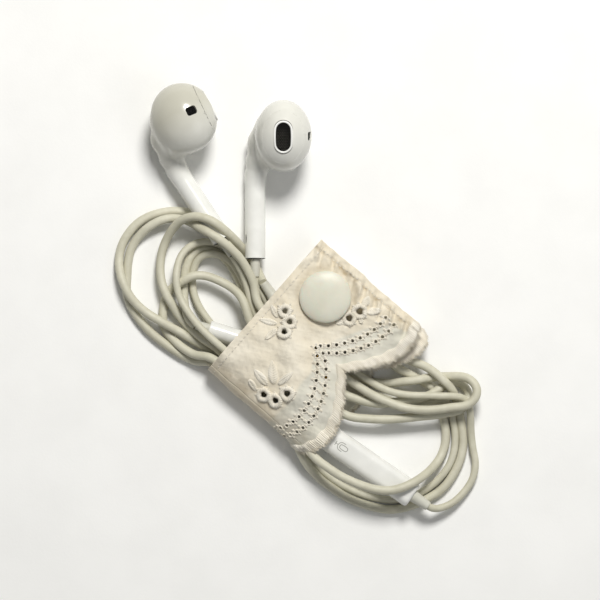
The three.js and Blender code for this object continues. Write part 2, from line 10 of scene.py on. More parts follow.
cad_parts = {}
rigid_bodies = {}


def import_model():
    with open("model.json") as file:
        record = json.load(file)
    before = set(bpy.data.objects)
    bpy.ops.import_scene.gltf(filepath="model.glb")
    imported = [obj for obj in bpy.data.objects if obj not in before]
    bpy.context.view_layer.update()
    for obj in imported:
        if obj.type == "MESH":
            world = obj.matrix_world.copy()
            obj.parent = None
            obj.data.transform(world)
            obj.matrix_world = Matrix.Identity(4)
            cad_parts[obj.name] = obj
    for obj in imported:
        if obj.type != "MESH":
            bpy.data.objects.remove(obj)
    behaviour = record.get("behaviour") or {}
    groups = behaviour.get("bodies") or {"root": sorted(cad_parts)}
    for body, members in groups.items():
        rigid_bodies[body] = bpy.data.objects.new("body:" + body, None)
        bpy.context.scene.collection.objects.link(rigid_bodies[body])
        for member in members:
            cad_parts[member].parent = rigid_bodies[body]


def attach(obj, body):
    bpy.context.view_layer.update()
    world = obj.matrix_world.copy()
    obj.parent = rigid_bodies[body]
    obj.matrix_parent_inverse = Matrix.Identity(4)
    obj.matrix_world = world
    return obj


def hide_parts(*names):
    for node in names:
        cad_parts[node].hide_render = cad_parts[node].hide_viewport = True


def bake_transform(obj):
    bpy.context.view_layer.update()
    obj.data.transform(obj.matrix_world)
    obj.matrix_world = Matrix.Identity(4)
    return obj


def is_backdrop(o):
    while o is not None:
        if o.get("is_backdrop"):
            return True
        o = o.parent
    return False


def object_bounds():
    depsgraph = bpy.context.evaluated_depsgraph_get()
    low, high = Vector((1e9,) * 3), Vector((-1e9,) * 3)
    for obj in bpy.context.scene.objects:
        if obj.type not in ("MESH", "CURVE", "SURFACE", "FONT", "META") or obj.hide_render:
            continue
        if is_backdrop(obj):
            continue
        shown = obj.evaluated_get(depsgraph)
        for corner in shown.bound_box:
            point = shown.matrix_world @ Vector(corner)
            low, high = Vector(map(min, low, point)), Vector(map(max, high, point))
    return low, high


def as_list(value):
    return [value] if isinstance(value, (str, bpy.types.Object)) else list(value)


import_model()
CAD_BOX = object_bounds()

MM = 0.001
ORIGIN = (1.24, -0.32)

# The parts' places and sizes, in millimetres, as in the CAD model.
HEAD_CENTRE = (6.75, 28.6, 8.25)
HEAD_RADII = (6.7, 8.5, 7.75)
NECK = (((0, 18.5, 0), 2.35), ((0.8, 23.2, 0.75), 2.8), ((2.1, 27.3, 2.2), 3.8), ((4.2, 30.6, 5.2), 4.3))
THROAT = ((5.0, 26.2, 4.3), 4.0)
NOSE_TILT = 8
STEM_RADIUS = 2.45
SEAM_HEIGHT = 5.3
GRILLE = {"width": 4.0, "length": 7.6, "recess": 6.55}
VENT_ANGLE = 22
RIGHT_BUD = {"x": -8.2, "y": 8.7, "z": 4.0, "roll": 0, "tilt": -4, "turn": 0}
LEFT_BUD = {"x": -16.0, "y": 13.1, "z": 5.9, "roll": 90, "tilt": -6, "turn": 33.3}
WRAP = {"x": 7.4, "y": 13.0, "turn": -41.2}
SNAP = {"x": 9.7, "y": -9.4, "cap_radius": 6.2}
REMOTE = {"x": 15.7, "y": -38.4, "z": 4.7, "turn": -34.6, "length": 33.4, "width": 6.4, "height": 4.2}
BUTTONS = ((-7.6, 6.6), (0.0, 6.0), (7.6, 6.6))
SPLITTER = {"x": -19.2, "y": -8.1, "z": 4.5, "turn": -17.6, "length": 15.8, "radius": 2.1}
PLUG = {"x": -3.6, "y": -16.6, "z": 4.9, "turn": -14, "boot": 7.0, "housing": 8.5, "radius": 2.5}
MAIN_RADIUS = 1.05
BRANCH_RADIUS = 0.88
SHELL_WALL = 0.7
SEAM_GAP = 0.12
GRILLE_MARGIN = 0.5
FAR = 9.0
JACK_RADIUS = 1.75
CLOTH_THICKNESS = 0.3
EYELET_RADIUS = 0.39
BORDER_WIDTH = 2.5
TABLE_GAP = 0.02

# ---------- Cord routes, in millimetres ----------
MAIN_CORD = (
    (-5, 2.6, 4.9), (-5.7, 4, 3.1), (-6.4, 5.6, 1.8), (-7.7, 7.8, 1.1), (-9.3, 9.9, 2.2),
    (-11, 12, 4.8), (-13, 14, 7.1), (-14.9, 15.7, 8.6), (-16.9, 17.1, 9), (-18.9, 18, 8.9),
    (-21.3, 18.4, 8.2), (-23.7, 17.9, 6.9), (-25.8, 16.4, 5), (-27.7, 13.8, 3.2), (-28.9, 11.1, 2.5),
    (-29.6, 7.6, 2.6), (-29.4, 3.3, 3.2), (-28.2, -0.2, 3.6), (-26.7, -2.8, 3.1), (-24.9, -5.6, 2.1),
    (-22.7, -8, 2.3), (-19.5, -10.7, 4.2), (-16, -13.1, 4.8), (-11.3, -19.3, 4.2), (-7.3, -23.9, 5.4),
    (-2.8, -27.8, 6.7), (1.5, -32, 6.4), (7.7, -39.4, 7), (9.7, -40.9, 7.6), (13.1, -43.2, 7.8),
    (17.1, -45.1, 7.9), (21.8, -46.6, 7.9), (25.6, -46.8, 8), (29.2, -45.7, 7.8), (32, -44.2, 6.5),
    (34.9, -42, 3.7), (37.3, -39.1, 1.5), (38.5, -35.7, 1.1), (38.6, -32.6, 1.1), (38, -29.3, 1.1),
    (37.8, -26.4, 1.1), (37.1, -24, 1.1), (35.1, -22.2, 1.1), (32.7, -20.7, 1.1), (30.1, -19.3, 2.1),
    (27.5, -18, 2.9), (20.5, -13.1, 3.5), (15.1, -10.3, 3.8), (10.5, -9.5, 5.5), (4.8, -8.4, 8.1),
    (-1.2, -6.5, 8.1), (-4.3, -4.9, 7.4), (-6.1, -2.6, 6.8), (-6.9, -0.4, 6.6), (-7.1, 1.8, 6.5),
    (-8.4, 5, 6.8), (-10.4, 8.3, 7.4), (-12.8, 10.8, 8.3), (-15.5, 13, 9), (-18.1, 14.6, 8.8),
    (-20.3, 15.8, 7.2), (-22.7, 17.2, 4.3), (-25.8, 18, 3.1), (-29.2, 17.6, 3), (-32.5, 15.8, 2.5),
    (-34.9, 13.5, 1.4), (-36.6, 10.9, 1.1), (-37.3, 8, 1.1), (-37.6, 3.9, 1.1), (-37.7, 0.3, 1.1),
    (-36.9, -2.6, 1.1), (-35, -5.7, 1.1), (-32.1, -9.1, 1.1), (-28.4, -12.1, 1.1), (-24.6, -14.6, 1.1),
    (-21.3, -16.1, 1.3), (-17.3, -16.4, 3.6), (-12.3, -20.4, 3.4), (-4.6, -26.7, 3.1), (1.6, -33.3, 4),
    (4.7, -39.6, 3.6), (6.4, -42, 2.4), (8.8, -44.5, 1.4), (11.8, -46.7, 1.1), (15.6, -49, 1.1),
    (20.3, -50.7, 1.1), (25.1, -51.6, 1.1), (29.9, -50.8, 1.1), (35.1, -48.5, 1.1), (38, -46.4, 1.1),
    (40.5, -43, 1.1), (42.2, -39.2, 1.1), (42.8, -35.4, 1.1), (42.4, -31.8, 1.1), (41.7, -28, 1.1),
    (41.1, -25.4, 1.5), (39.8, -22.6, 3.8), (37.8, -20.6, 4.5), (35.7, -18.7, 4.3), (33.2, -17.1, 4),
    (30.4, -16.1, 3.8), (27.9, -14.9, 3.7), (21.9, -10.3, 3.5), (14.5, -8, 1.9), (3.7, -5.1, 1.8),
    (-3.9, -1.7, 1.8), (-6.5, 0.7, 1.1), (-8.4, 4.1, 1.1), (-10.5, 7.7, 1.1), (-13.1, 11.4, 1.1),
    (-16.4, 15.2, 1.1), (-20.1, 18.2, 1.1), (-23.9, 19.6, 1.1), (-28, 19.6, 1.1), (-32, 18.6, 1.1),
    (-35, 16.9, 1.1), (-37.5, 14.1, 1.1), (-38.9, 11.4, 1.1), (-39.5, 8.6, 1.2), (-39.3, 5.3, 2.3),
    (-38.1, 1.7, 3.2), (-36.2, -1.5, 3.2), (-33.1, -4.4, 3), (-29.4, -6.7, 3.1), (-25.4, -8.9, 2.6),
    (-21.4, -11.3, 2.1), (-17.6, -13.6, 2), (-10.7, -17.1, 2.8), (-1.6, -17.2, 6.4), (6.2, -17.4, 8.1),
    (12, -18.4, 7.4), (14.1, -19.7, 6.3), (17.7, -22.1, 5.7), (21.1, -24.2, 5.7), (24.7, -25.8, 5.8),
    (28.8, -27.2, 5.9), (33.1, -27.7, 6), (37.1, -27.5, 6), (40.4, -27, 6), (42.4, -26.9, 6),
    (44.2, -26.2, 5.9), (45.5, -24.9, 5.8), (46, -23.2, 5.6), (45.4, -21.5, 5.2), (43.9, -20.2, 4.7),
    (42.1, -19.7, 4.1), (39.9, -19.7, 3.3), (37.3, -19.8, 2.3), (34.5, -20, 2.9), (31.7, -20.6, 3.8),
    (28.3, -21, 3.2), (25, -21.4, 2.1), (21.6, -21.2, 2), (17.8, -20.2, 2.3), (11.2, -14.7, 2.6),
    (0.9, -11.3, 5), (-7.1, -8.3, 6), (-9.2, -3.2, 5.8), (-10.2, -0.9, 5.1), (-11.6, 0.7, 4.4),
    (-13.6, 2.1, 4.1), (-16.7, 3.6, 3.8), (-18.9, 4.3, 3.6), (-20.9, 4.4, 3.6), (-22.8, 3.9, 3.6),
    (-24.6, 2.7, 3), (-26.9, 1.3, 1.7), (-28.4, -1, 1.1), (-29, -4.4, 1.1), (-28.8, -7.7, 1.1),
    (-27.2, -10.3, 1.2), (-24.7, -12.6, 2.3), (-21.4, -14.6, 3.3), (-17.8, -15.1, 5.1), (-11.7, -19.2, 6.5),
    (-2.7, -21.1, 3.1), (6, -23.5, 3), (12.9, -28.1, 3.6), (16, -29.4, 3.8), (19.5, -29.8, 3.8),
    (23.7, -30, 3.8), (28.7, -29.7, 3.8), (32.3, -29.3, 3.9), (36.4, -28.9, 3.9), (39.6, -28.3, 3.9),
    (41.3, -28, 3.5), (42.9, -27.1, 2.6), (43.9, -25.5, 1.8), (44, -23.7, 1.2), (43.1, -22.1, 1.1),
    (41.5, -21.2, 1.2), (39.6, -21.2, 1.7), (37.5, -22.4, 2.7), (35.1, -24, 3.3), (32.4, -24.9, 3.5),
    (29.5, -25.4, 3.7), (26.7, -25.8, 3.8), (23.6, -26.2, 3.9), (20.6, -26, 4.1), (17.3, -25.1, 4.3),
    (14, -23.8, 4.4), (7.6, -18.7, 3.1), (-0.2, -12.5, 2), (-6.6, -7.7, 1.9), (-8.6, -3.3, 1.5),
    (-9.8, 0.5, 1.1), (-11.2, 4, 1.1), (-13, 7, 1.1), (-15.1, 9.3, 1.1), (-17.7, 10.6, 1.1),
    (-20.4, 10.4, 1.1), (-22.5, 8.7, 1.1), (-23.6, 5.7, 1.1), (-23.9, 2.3, 1.1), (-24, -0.8, 1.3),
    (-23.7, -3.4, 2.4), (-23, -5.7, 3.8), (-22.1, -6.9, 4.4), (-21.2, -7.5, 4.5),
)
LEFT_BRANCH_CORD = (
    (-12.4, 9.1, 6.4), (-11.3, 7.3, 5.9), (-9.9, 4.7, 5.1), (-8.9, 1.6, 5), (-7.9, -1.9, 5.1),
    (-6.3, -6.2, 4.8), (-3.3, -10.2, 3.7), (-1.1, -15.1, 2.5), (-0.2, -21.8, 1.7), (1, -27.9, 1.9),
    (2.7, -32, 2.4), (6.5, -40, 1.1), (9.5, -42.6, 0.9), (12.6, -45, 0.9), (16.5, -47.1, 1),
    (21.3, -48.7, 1), (26.1, -49.3, 1), (30.4, -48.5, 1.1), (34.3, -46.5, 1.1), (37.1, -44.1, 1.2),
    (39.4, -41, 1.2), (40.7, -36.9, 1.3), (40.8, -33.1, 1.3), (40.2, -29.9, 1.4), (39.9, -27.8, 1.7),
    (39, -26.1, 2.5), (37.3, -25.5, 3.1), (34.7, -25.8, 2.5), (30.6, -26.3, 1.4), (26.7, -25.8, 1.4),
    (22, -24.2, 1.5), (17.7, -22.3, 2.1), (10.9, -18.1, 2.7), (4.4, -13.4, 2.6), (-1.5, -9.3, 2.6),
    (-7.4, -5.3, 3.2), (-8.4, -1.7, 3.2), (-9, 0.9, 3.2), (-10.1, 3.5, 3.2), (-11.5, 6, 3.2),
    (-12.9, 7.9, 3.2), (-14.8, 9, 3), (-17, 9.6, 3), (-19, 9.3, 2.6), (-20.5, 8.3, 1.9),
    (-21.5, 6.5, 1.2), (-22, 3.6, 1.1), (-21.7, 0.4, 1.2), (-20.7, -2.5, 1.2), (-19.3, -4.8, 1.3),
    (-17.3, -7.4, 1.4), (-14.7, -9.9, 1.7), (-10.7, -10.7, 2.5), (-6.8, -15.2, 2.6), (-4.2, -18.2, 3.4),
    (-1.1, -21.1, 5.2), (1, -23.1, 5.3), (3.5, -22.9, 5.6), (5.1, -21, 5.6), (4.8, -18.6, 5.3),
    (2.6, -16.6, 4.9), (0.1, -15.2, 4.7), (-2.4, -13.8, 4.5),
)
RIGHT_BRANCH_UPPER_CORD = (
    (-7, 5.2, 4.2), (-7.1, 4.1, 4.1), (-6.5, 2.5, 3.7), (-5.6, 0.4, 3.7), (-4.3, -1.7, 3.6),
    (-3.8, -3.1, 3.3), (3.3, -8.7, 2.4), (10.7, -12.2, 3), (14.4, -15.7, 4.4), (16.4, -18, 5),
    (19.3, -20.2, 5.3), (22.9, -22.3, 5.5), (26.2, -23.6, 5.6), (30.3, -24.2, 5.6), (34.6, -24.3, 5.6),
    (38.4, -24.4, 5.6), (41.3, -24.5, 5), (43, -25.1, 4.4), (44, -26.6, 4.1), (44.4, -28.5, 3.4),
    (44.5, -30.6, 2.6), (44.6, -33, 1.8), (45.1, -37.3, 1.5), (45.7, -40.3, 1.4), (45.1, -43.9, 1.4),
    (43.2, -47.1, 1.4), (39.8, -50.2, 2.3), (36.6, -51.3, 3.3), (35.3, -51.3, 4.1), (34.2, -50.6, 4.6),
    (33.2, -50, 4.7),
)
RIGHT_BRANCH_LOWER_CORD = (
    (-2.2, -24.9, 4.7), (-5.3, -21.4, 5.6), (-9.5, -17.2, 6.9), (-14.2, -13.4, 7.4), (-16.8, -11.1, 7.6),
    (-18.7, -9.4, 7.4), (-20.8, -7.2, 6.8), (-22.8, -4.5, 5.8), (-24.4, -2, 5), (-25.4, 0.6, 4.7),
    (-25.8, 4.1, 4.8), (-25.3, 7.4, 3.9), (-24.2, 9.8, 3.1), (-22.5, 11.3, 3), (-20.2, 12.3, 3),
    (-17.1, 12.3, 2.9), (-14, 11.1, 3), (-11.7, 9, 3), (-9.6, 6.3, 3), (-8.1, 3.2, 2.8),
    (-7.1, 0.5, 2.7), (-5.9, -3.6, 2.7), (-1.8, -8.3, 1.6), (3.9, -10.7, 1.6), (7.7, -13.5, 1.6),
    (9.4, -16.2, 1.6), (8.8, -19, 1.6), (6.3, -20.1, 2.2), (3.6, -19.2, 2.8), (0.8, -16.7, 3.7),
    (-2.4, -13.8, 4.5),
)


# ---------- Frames and meshes ----------
def shifted(x, y, z):
    return Matrix.Translation((x, y, z))


def turned(degrees, axis):
    return Matrix.Rotation(math.radians(degrees), 4, axis)


def placed(spot, parent=None):
    """The 4x4 matrix, in millimetres, of a part's place in the object."""
    matrix = shifted(spot["x"], spot["y"], spot.get("z", 0))
    for key, axis in (("turn", "Z"), ("tilt", "X"), ("roll", "Y")):
        matrix = matrix @ turned(spot.get(key, 0), axis)
    return (parent or shifted(*ORIGIN, 0)) @ matrix


def moved(points, matrix):
    """Points carried by a 4x4 matrix."""
    turn = np.array(matrix)
    return np.asarray(points, float) @ turn[:3, :3].T + turn[:3, 3]


def new_object(name, data):
    obj = bpy.data.objects.new(name, data)
    bpy.context.scene.collection.objects.link(obj)
    return obj


def mesh_points(obj):
    """A mesh's points, in metres."""
    return np.array([vert.co for vert in obj.data.vertices])


def set_attribute(obj, name, values):
    """A number for each of a mesh's points, for its material to read."""
    attribute = obj.data.attributes.new(name, "FLOAT", "POINT")
    attribute.data.foreach_set("value", np.asarray(values, np.float32))


def mesh_piece(name, points, faces, matrix=None, sharp_angle=None):
    """A smooth-shaded mesh from points in millimetres; edges past an angle stay crisp."""
    if matrix is not None:
        points = moved(points, matrix)
    mesh = bpy.data.meshes.new(name)
    mesh.from_pydata((np.asarray(points, float) * MM).tolist(), [], [list(map(int, face)) for face in faces])
    mesh.update()
    mesh.polygons.foreach_set("use_smooth", [True] * len(mesh.polygons))
    if sharp_angle is not None:
        mesh.set_sharp_from_angle(angle=math.radians(sharp_angle))
    return new_object(name, mesh)


def finish_piece(obj, material, slot, body="hank", nodes=()):
    """Gives a piece its material, and the body and CAD nodes it goes with; the slot is not used."""
    obj.data.materials.append(material)
    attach(obj, body)
    if nodes:
        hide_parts(*nodes)
    return obj


def grid_faces(rows, columns, close_rows=False, close_columns=False):
    """Quads over a rows x columns grid of points."""
    faces = []
    for i in range(rows if close_rows else rows - 1):
        for j in range(columns if close_columns else columns - 1):
            k, m = (i + 1) % rows, (j + 1) % columns
            faces.append((i * columns + j, i * columns + m, k * columns + m, k * columns + j))
    return faces


def lathe(profile, sides=64):
    """Points and faces of a solid turned about +X, from (radius, x) pairs; zero radii are closed."""
    points, faces, rings = [], [], []
    for radius, x in profile:
        if radius < 1e-6:
            rings.append([len(points)])
            points.append((x, 0, 0))
            continue
        rings.append(list(range(len(points), len(points) + sides)))
        for k in range(sides):
            angle = 2 * math.pi * k / sides
            points.append((x, radius * math.cos(angle), radius * math.sin(angle)))
    for a, b in zip(rings, rings[1:]):
        for k in range(sides):
            m = (k + 1) % sides
            corners = [a[k % len(a)], a[m % len(a)], b[m % len(b)], b[k % len(b)]]
            face = list(dict.fromkeys(corners))
            if len(face) > 2:
                faces.append(face[::-1])
    return points, faces


def rounded(profile, radius):
    """A profile with its inner corners rounded."""
    steps = 4
    out = [profile[0]]
    for before, corner, after in zip(profile, profile[1:], profile[2:]):
        corner = np.array(corner, float)
        back, ahead = np.array(before) - corner, np.array(after) - corner
        reach = min(radius, 0.45 * np.linalg.norm(back), 0.45 * np.linalg.norm(ahead))
        start = corner + back / np.linalg.norm(back) * reach
        end = corner + ahead / np.linalg.norm(ahead) * reach
        for k in range(steps + 1):
            t = k / steps
            out.append(tuple((1 - t) ** 2 * start + 2 * t * (1 - t) * corner + t * t * end))
    out.append(profile[-1])
    return out


def turned_piece(name, profile, matrix, sides, soften):
    """A solid turned about its frame's X axis, its profile's corners softened."""
    points, faces = lathe(rounded(profile, soften), sides)
    return mesh_piece(name, points, faces, matrix, sharp_angle=50)


# ---------- Materials ----------
def add_node(tree, kind, sockets=None, **settings):
    """A shader node; a socket given as a value is linked, and anything else is set."""
    node = tree.nodes.new("ShaderNode" + kind)
    for key, value in settings.items():
        setattr(node, key, value)
    for key, value in (sockets or {}).items():
        if isinstance(value, bpy.types.NodeSocket):
            tree.links.new(value, node.inputs[key])
        else:
            node.inputs[key].default_value = value
    return node


def new_material(name, roughness, **sockets):
    """A material with constants set on its own shader; returns it, its tree and the shader."""
    material = bpy.data.materials.new(name)
    material.use_nodes = True
    tree = material.node_tree
    shader = tree.nodes["Principled BSDF"]
    shader.inputs["Roughness"].default_value = roughness
    for key, value in sockets.items():
        shader.inputs[key.replace("_", " ")].default_value = value
    return material, tree, shader


def wire(tree, shader, **sockets):
    """Links the shader's sockets to what other nodes give."""
    for key, socket in sockets.items():
        tree.links.new(socket, shader.inputs[key.replace("_", " ")])


def colour(code):
    """A linear colour from a hex code."""
    values = [int(code[i : i + 2], 16) / 255 for i in (0, 2, 4)]
    return [v / 12.92 if v < 0.04045 else ((v + 0.055) / 1.055) ** 2.4 for v in values] + [1]


def object_place(tree):
    return add_node(tree, "TexCoord").outputs["Object"]


def noise(tree, place, scale, detail=3.0):
    sockets = {"Vector": place, "Scale": scale, "Detail": detail, "Roughness": 0.55}
    return add_node(tree, "TexNoise", sockets).outputs[0]


def ramp(tree, factor, low, high, start=0.35, end=0.65):
    """A colour that goes from low to high as the factor goes from start to end."""
    node = add_node(tree, "ValToRGB", {0: factor})
    node.color_ramp.elements[0].position = start
    node.color_ramp.elements[0].color = colour(low)
    node.color_ramp.elements[1].position = end
    node.color_ramp.elements[1].color = colour(high)
    return node.outputs[0]


def spread(tree, factor, low, high):
    """A number from low to high as the factor goes from 0.3 to 0.7."""
    sockets = {0: factor, 1: 0.3, 2: 0.7, 3: low, 4: high}
    return add_node(tree, "MapRange", sockets).outputs[0]


def mixed(tree, factor, first, second):
    """A blend of two colours; 0, 6 and 7 are the mix node's factor and colour sockets."""
    return add_node(tree, "Mix", {0: factor, 6: first, 7: second}, data_type="RGBA").outputs[2]


def bump(tree, height, distance, strength=1.0, under=None):
    sockets = {"Height": height, "Distance": distance * MM, "Strength": strength}
    if under is not None:
        sockets["Normal"] = under
    return add_node(tree, "Bump", sockets).outputs[0]


def moulded(name, low, high, roughness, grain=0.02, **sockets):
    """Moulded plastic or rubber: slight mottling, a fine grain, and handling marks in the gloss."""
    material, tree, shader = new_material(name, roughness, **sockets)
    place = object_place(tree)
    mottle = ramp(tree, noise(tree, place, 160), low, high)
    gloss = spread(tree, noise(tree, place, 420, 6), roughness * 0.8, roughness * 1.25)
    fine = bump(tree, noise(tree, place, 2500), grain)
    wire(tree, shader, Base_Color=mottle, Roughness=gloss, Normal=fine)
    return material


def cord_material():
    """Matt cable jacket: beige-grey, slightly grubby in patches, with a fine extruded grain."""
    material, tree, shader = new_material("cord_jacket", 0.5, Specular_IOR_Level=0.4)
    place = object_place(tree)
    base = ramp(tree, noise(tree, place, 90), "c7c4b0", "d6d3c0")
    grime = mixed(tree, spread(tree, noise(tree, place, 700, 5), 0.0, 0.22), base, colour("a39e86"))
    gloss = spread(tree, noise(tree, place, 500), 0.42, 0.6)
    fine = bump(tree, noise(tree, place, 3200), 0.03)
    coarse = bump(tree, noise(tree, place, 260), 0.12, under=fine)
    wire(tree, shader, Base_Color=grime, Roughness=gloss, Normal=coarse)
    return material


# ---------- Camera, light and floor ----------
def make_camera():
    """Straight above the object, its top towards the picture's top."""
    distance, view_width, sensor, level = 1400.0, 143.1, 36.0, 4.0
    data = bpy.data.cameras.new("camera")
    data.sensor_width = sensor
    data.lens = sensor * (distance - level) / view_width
    data.clip_start = 0.01
    data.clip_end = 10
    camera = new_object("camera", data)
    camera.location = Vector((3.74, -1.51, distance)) * MM
    bpy.context.scene.camera = camera


def area_light(name, place, size, power, tint):
    """A round soft light that faces the object."""
    data = bpy.data.lights.new(name, "AREA")
    data.shape = "DISK"
    data.size = size
    data.energy = power
    data.color = tint
    light = new_object(name, data)
    light.location = place
    light.rotation_euler = (-Vector(place)).to_track_quat("-Z", "Y").to_euler()


def make_studio():
    """Soft light from beyond the picture's top edge, a weaker fill, and a plain pale floor."""
    area_light("key_light", (0.1, 0.46, 0.64), 0.24, 5.8, (1.0, 0.985, 0.955))
    area_light("fill_light", (0.6, -0.25, 0.7), 0.6, 0.8, (0.96, 0.98, 1.0))
    world = bpy.data.worlds.new("studio")
    world.use_nodes = True
    background = world.node_tree.nodes["Background"]
    background.inputs["Color"].default_value = (1.0, 1.0, 0.99, 1)
    background.inputs["Strength"].default_value = 0.215
    bpy.context.scene.world = world
    bpy.context.scene.view_settings.view_transform = "Standard"

    material, tree, shader = new_material("floor_paper", 0.8)
    place = object_place(tree)
    paper = ramp(tree, noise(tree, place, 60), "f6f6f4", "fafaf8")
    wire(tree, shader, Base_Color=paper, Normal=bump(tree, noise(tree, place, 1500), 0.02))
    side = 1500
    corners = [(-side, -side, 0), (side, -side, 0), (side, side, 0), (-side, side, 0)]
    floor = mesh_piece("floor", corners, [(0, 1, 2, 3)])
    floor.data.materials.append(material)
    floor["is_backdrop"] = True


# ---------- Cords ----------
def smooth_route(route, step=0.8, rounds=3):
    """Close, evenly flowing points through the route's given ones."""
    p = np.array(route, float)
    p = np.vstack([2 * p[0] - p[1], p, 2 * p[-1] - p[-2]])
    out = []
    for p0, p1, p2, p3 in zip(p, p[1:], p[2:], p[3:]):
        gaps = [max(np.linalg.norm(b - a) ** 0.5, 1e-6) for a, b in ((p0, p1), (p1, p2), (p2, p3))]
        t1, t2, t3 = np.cumsum(gaps)
        count = max(2, math.ceil(np.linalg.norm(p2 - p1) / step))
        for t in np.linspace(t1, t2, count, endpoint=False):
            a1 = ((t1 - t) * p0 + t * p1) / t1
            a2 = ((t2 - t) * p1 + (t - t1) * p2) / (t2 - t1)
            a3 = ((t3 - t) * p2 + (t - t2) * p3) / (t3 - t2)
            b1 = ((t2 - t) * a1 + t * a2) / t2
            b2 = ((t3 - t) * a2 + (t - t1) * a3) / (t3 - t1)
            out.append(((t2 - t) * b1 + (t - t1) * b2) / (t2 - t1))
    out = np.array(out + [p[-2]])
    for _ in range(rounds):
        out[1:-1] = 0.5 * out[1:-1] + 0.25 * (out[:-2] + out[2:])
    return out


def make_cord(name, route, radius, material, nodes=()):
    """A cord as a curve along its route; returns the piece, its first point and its length in metres."""
    points = smooth_route(route) * MM
    data = bpy.data.curves.new(name, "CURVE")
    data.dimensions = "3D"
    data.bevel_depth = radius * MM
    data.bevel_resolution = 5
    data.use_fill_caps = True
    spline = data.splines.new("POLY")
    spline.points.add(len(points) - 1)
    spline.points.foreach_set("co", np.c_[points, np.ones(len(points))].ravel())
    spline.use_smooth = True
    cord = new_object(name, data)
    finish_piece(cord, material, "cord_jacket", nodes=nodes)
    length = float(np.linalg.norm(np.diff(points, axis=0), axis=1).sum())
    return cord, tuple(points[0]), length


def make_cords(plug_pieces):
    """The main cord, from the splitter to the plug, and the three stretches of the branches."""
    jacket = cord_material()
    hank_nodes = ("main_cord_left_loops", "main_cord_bundle", "main_cord_right_loops")
    cord, exit_point, length = make_cord("main_cord", MAIN_CORD[::-1], MAIN_RADIUS, jacket, hank_nodes)
    with_pieces = [*plug_pieces, "splitter_strain_relief", "splitter_housing", "splitter_end"]
    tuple(exit_point)
    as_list(with_pieces)
    upper_ends = ["right_bud_strain_relief", "remote_lower_strain_relief"]
    branches = (
        ("left_branch_cord", LEFT_BRANCH_CORD, (), ["left_bud_strain_relief"]),
        ("right_branch_upper_cord", RIGHT_BRANCH_UPPER_CORD, ("right_branch_cord",), upper_ends),
        ("right_branch_lower_cord", RIGHT_BRANCH_LOWER_CORD, (), ["remote_upper_strain_relief"]),
    )
    for name, route, nodes, with_pieces in branches:
        cord, exit_point, length = make_cord(name, route, BRANCH_RADIUS, jacket, nodes)
        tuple(exit_point)
        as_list(with_pieces)


# ---------- Cutting along a curve ----------
def edges_of(triangles):
    """Each triangle's three sides, as pairs of points."""
    return np.vstack([triangles[:, [0, 1]], triangles[:, [1, 2]], triangles[:, [2, 0]]])


def snap_to_curve(points, faces, field, project):
    """Moves the points nearest a field's zero line onto it, so that whole triangles lie on one side.

    Returns the points and a mark for each: -1 inside, 0 on the line, 1 outside."""
    points = points.copy()
    edges = edges_of(np.asarray(faces))
    value = field(points)
    crossing = value[edges[:, 0]] * value[edges[:, 1]] < 0
    pairs = edges[crossing]
    nearer = np.abs(value[pairs[:, 0]]) < np.abs(value[pairs[:, 1]])
    chosen = np.unique(np.where(nearer, pairs[:, 0], pairs[:, 1]))
    step = 1e-3
    for _ in range(2):
        spot = points[chosen]
        rises = [field(spot + step * axis) - field(spot - step * axis) for axis in np.eye(3)]
        slope = np.stack([rise / (2 * step) for rise in rises], 1)
        shift = field(spot) / np.maximum((slope**2).sum(1), 1e-9)
        points[chosen] = project(spot - slope * np.clip(shift, -0.4, 0.4)[:, None])
    mark = np.sign(value)
    mark[chosen] = 0
    return points, mark


def part_of(points, faces, keep):
    """The faces that keep says, and only the points that they use."""
    faces = np.asarray(faces)[keep]
    used, inverse = np.unique(faces, return_inverse=True)
    return points[used], inverse.reshape(faces.shape)


def beyond(mark, faces):
    """Which faces lie outside the line, by the marks of their points."""
    return (mark[faces] >= 0).all(1) & (mark[faces] > 0).any(1)


def opened(points, faces, field, project):
    """A surface without what lies inside a field's zero line."""
    points, mark = snap_to_curve(points, faces, field, project)
    return part_of(points, faces, beyond(mark, faces))


def with_rim(name, points, faces, depth, matrix):
    """A shell piece whose open edges are turned inwards along the normals, as a moulding's wall."""
    obj = mesh_piece(name, points, faces, matrix)
    work = bmesh.new()
    work.from_mesh(obj.data)
    work.normal_update()
    open_edges = [edge for edge in work.edges if edge.is_boundary]
    normals = {vert: vert.normal.copy() for edge in open_edges for vert in edge.verts}
    result = bmesh.ops.extrude_edge_only(work, edges=open_edges)
    fresh = [item for item in result["geom"] if isinstance(item, bmesh.types.BMVert)]
    for vert in fresh:
        source = min(
            (edge.other_vert(vert) for edge in vert.link_edges if edge.other_vert(vert) in normals),
            key=lambda other: (other.co - vert.co).length,
        )
        vert.co -= normals[source] * depth * MM
    for edge in open_edges:
        edge.smooth = False
    for face in work.faces:
        face.smooth = True
    work.to_mesh(obj.data)
    work.free()
    return obj


# ---------- Earbuds ----------
def smooth_least(a, b, reach):
    """The lesser of two distances, blended where they are within reach of each other."""
    share = np.clip(0.5 + 0.5 * (b - a) / reach, 0, 1)
    return b + (a - b) * share - reach * share * (1 - share)


def capsule_distance(points, start, end, start_radius, end_radius):
    """Distance to a limb that goes from one radius to another."""
    axis = np.subtract(end, start)
    along = np.clip((points - start) @ axis / (axis @ axis), 0, 1)
    centre = start + along[:, None] * axis
    return np.linalg.norm(points - centre, axis=1) - (start_radius + (end_radius - start_radius) * along)


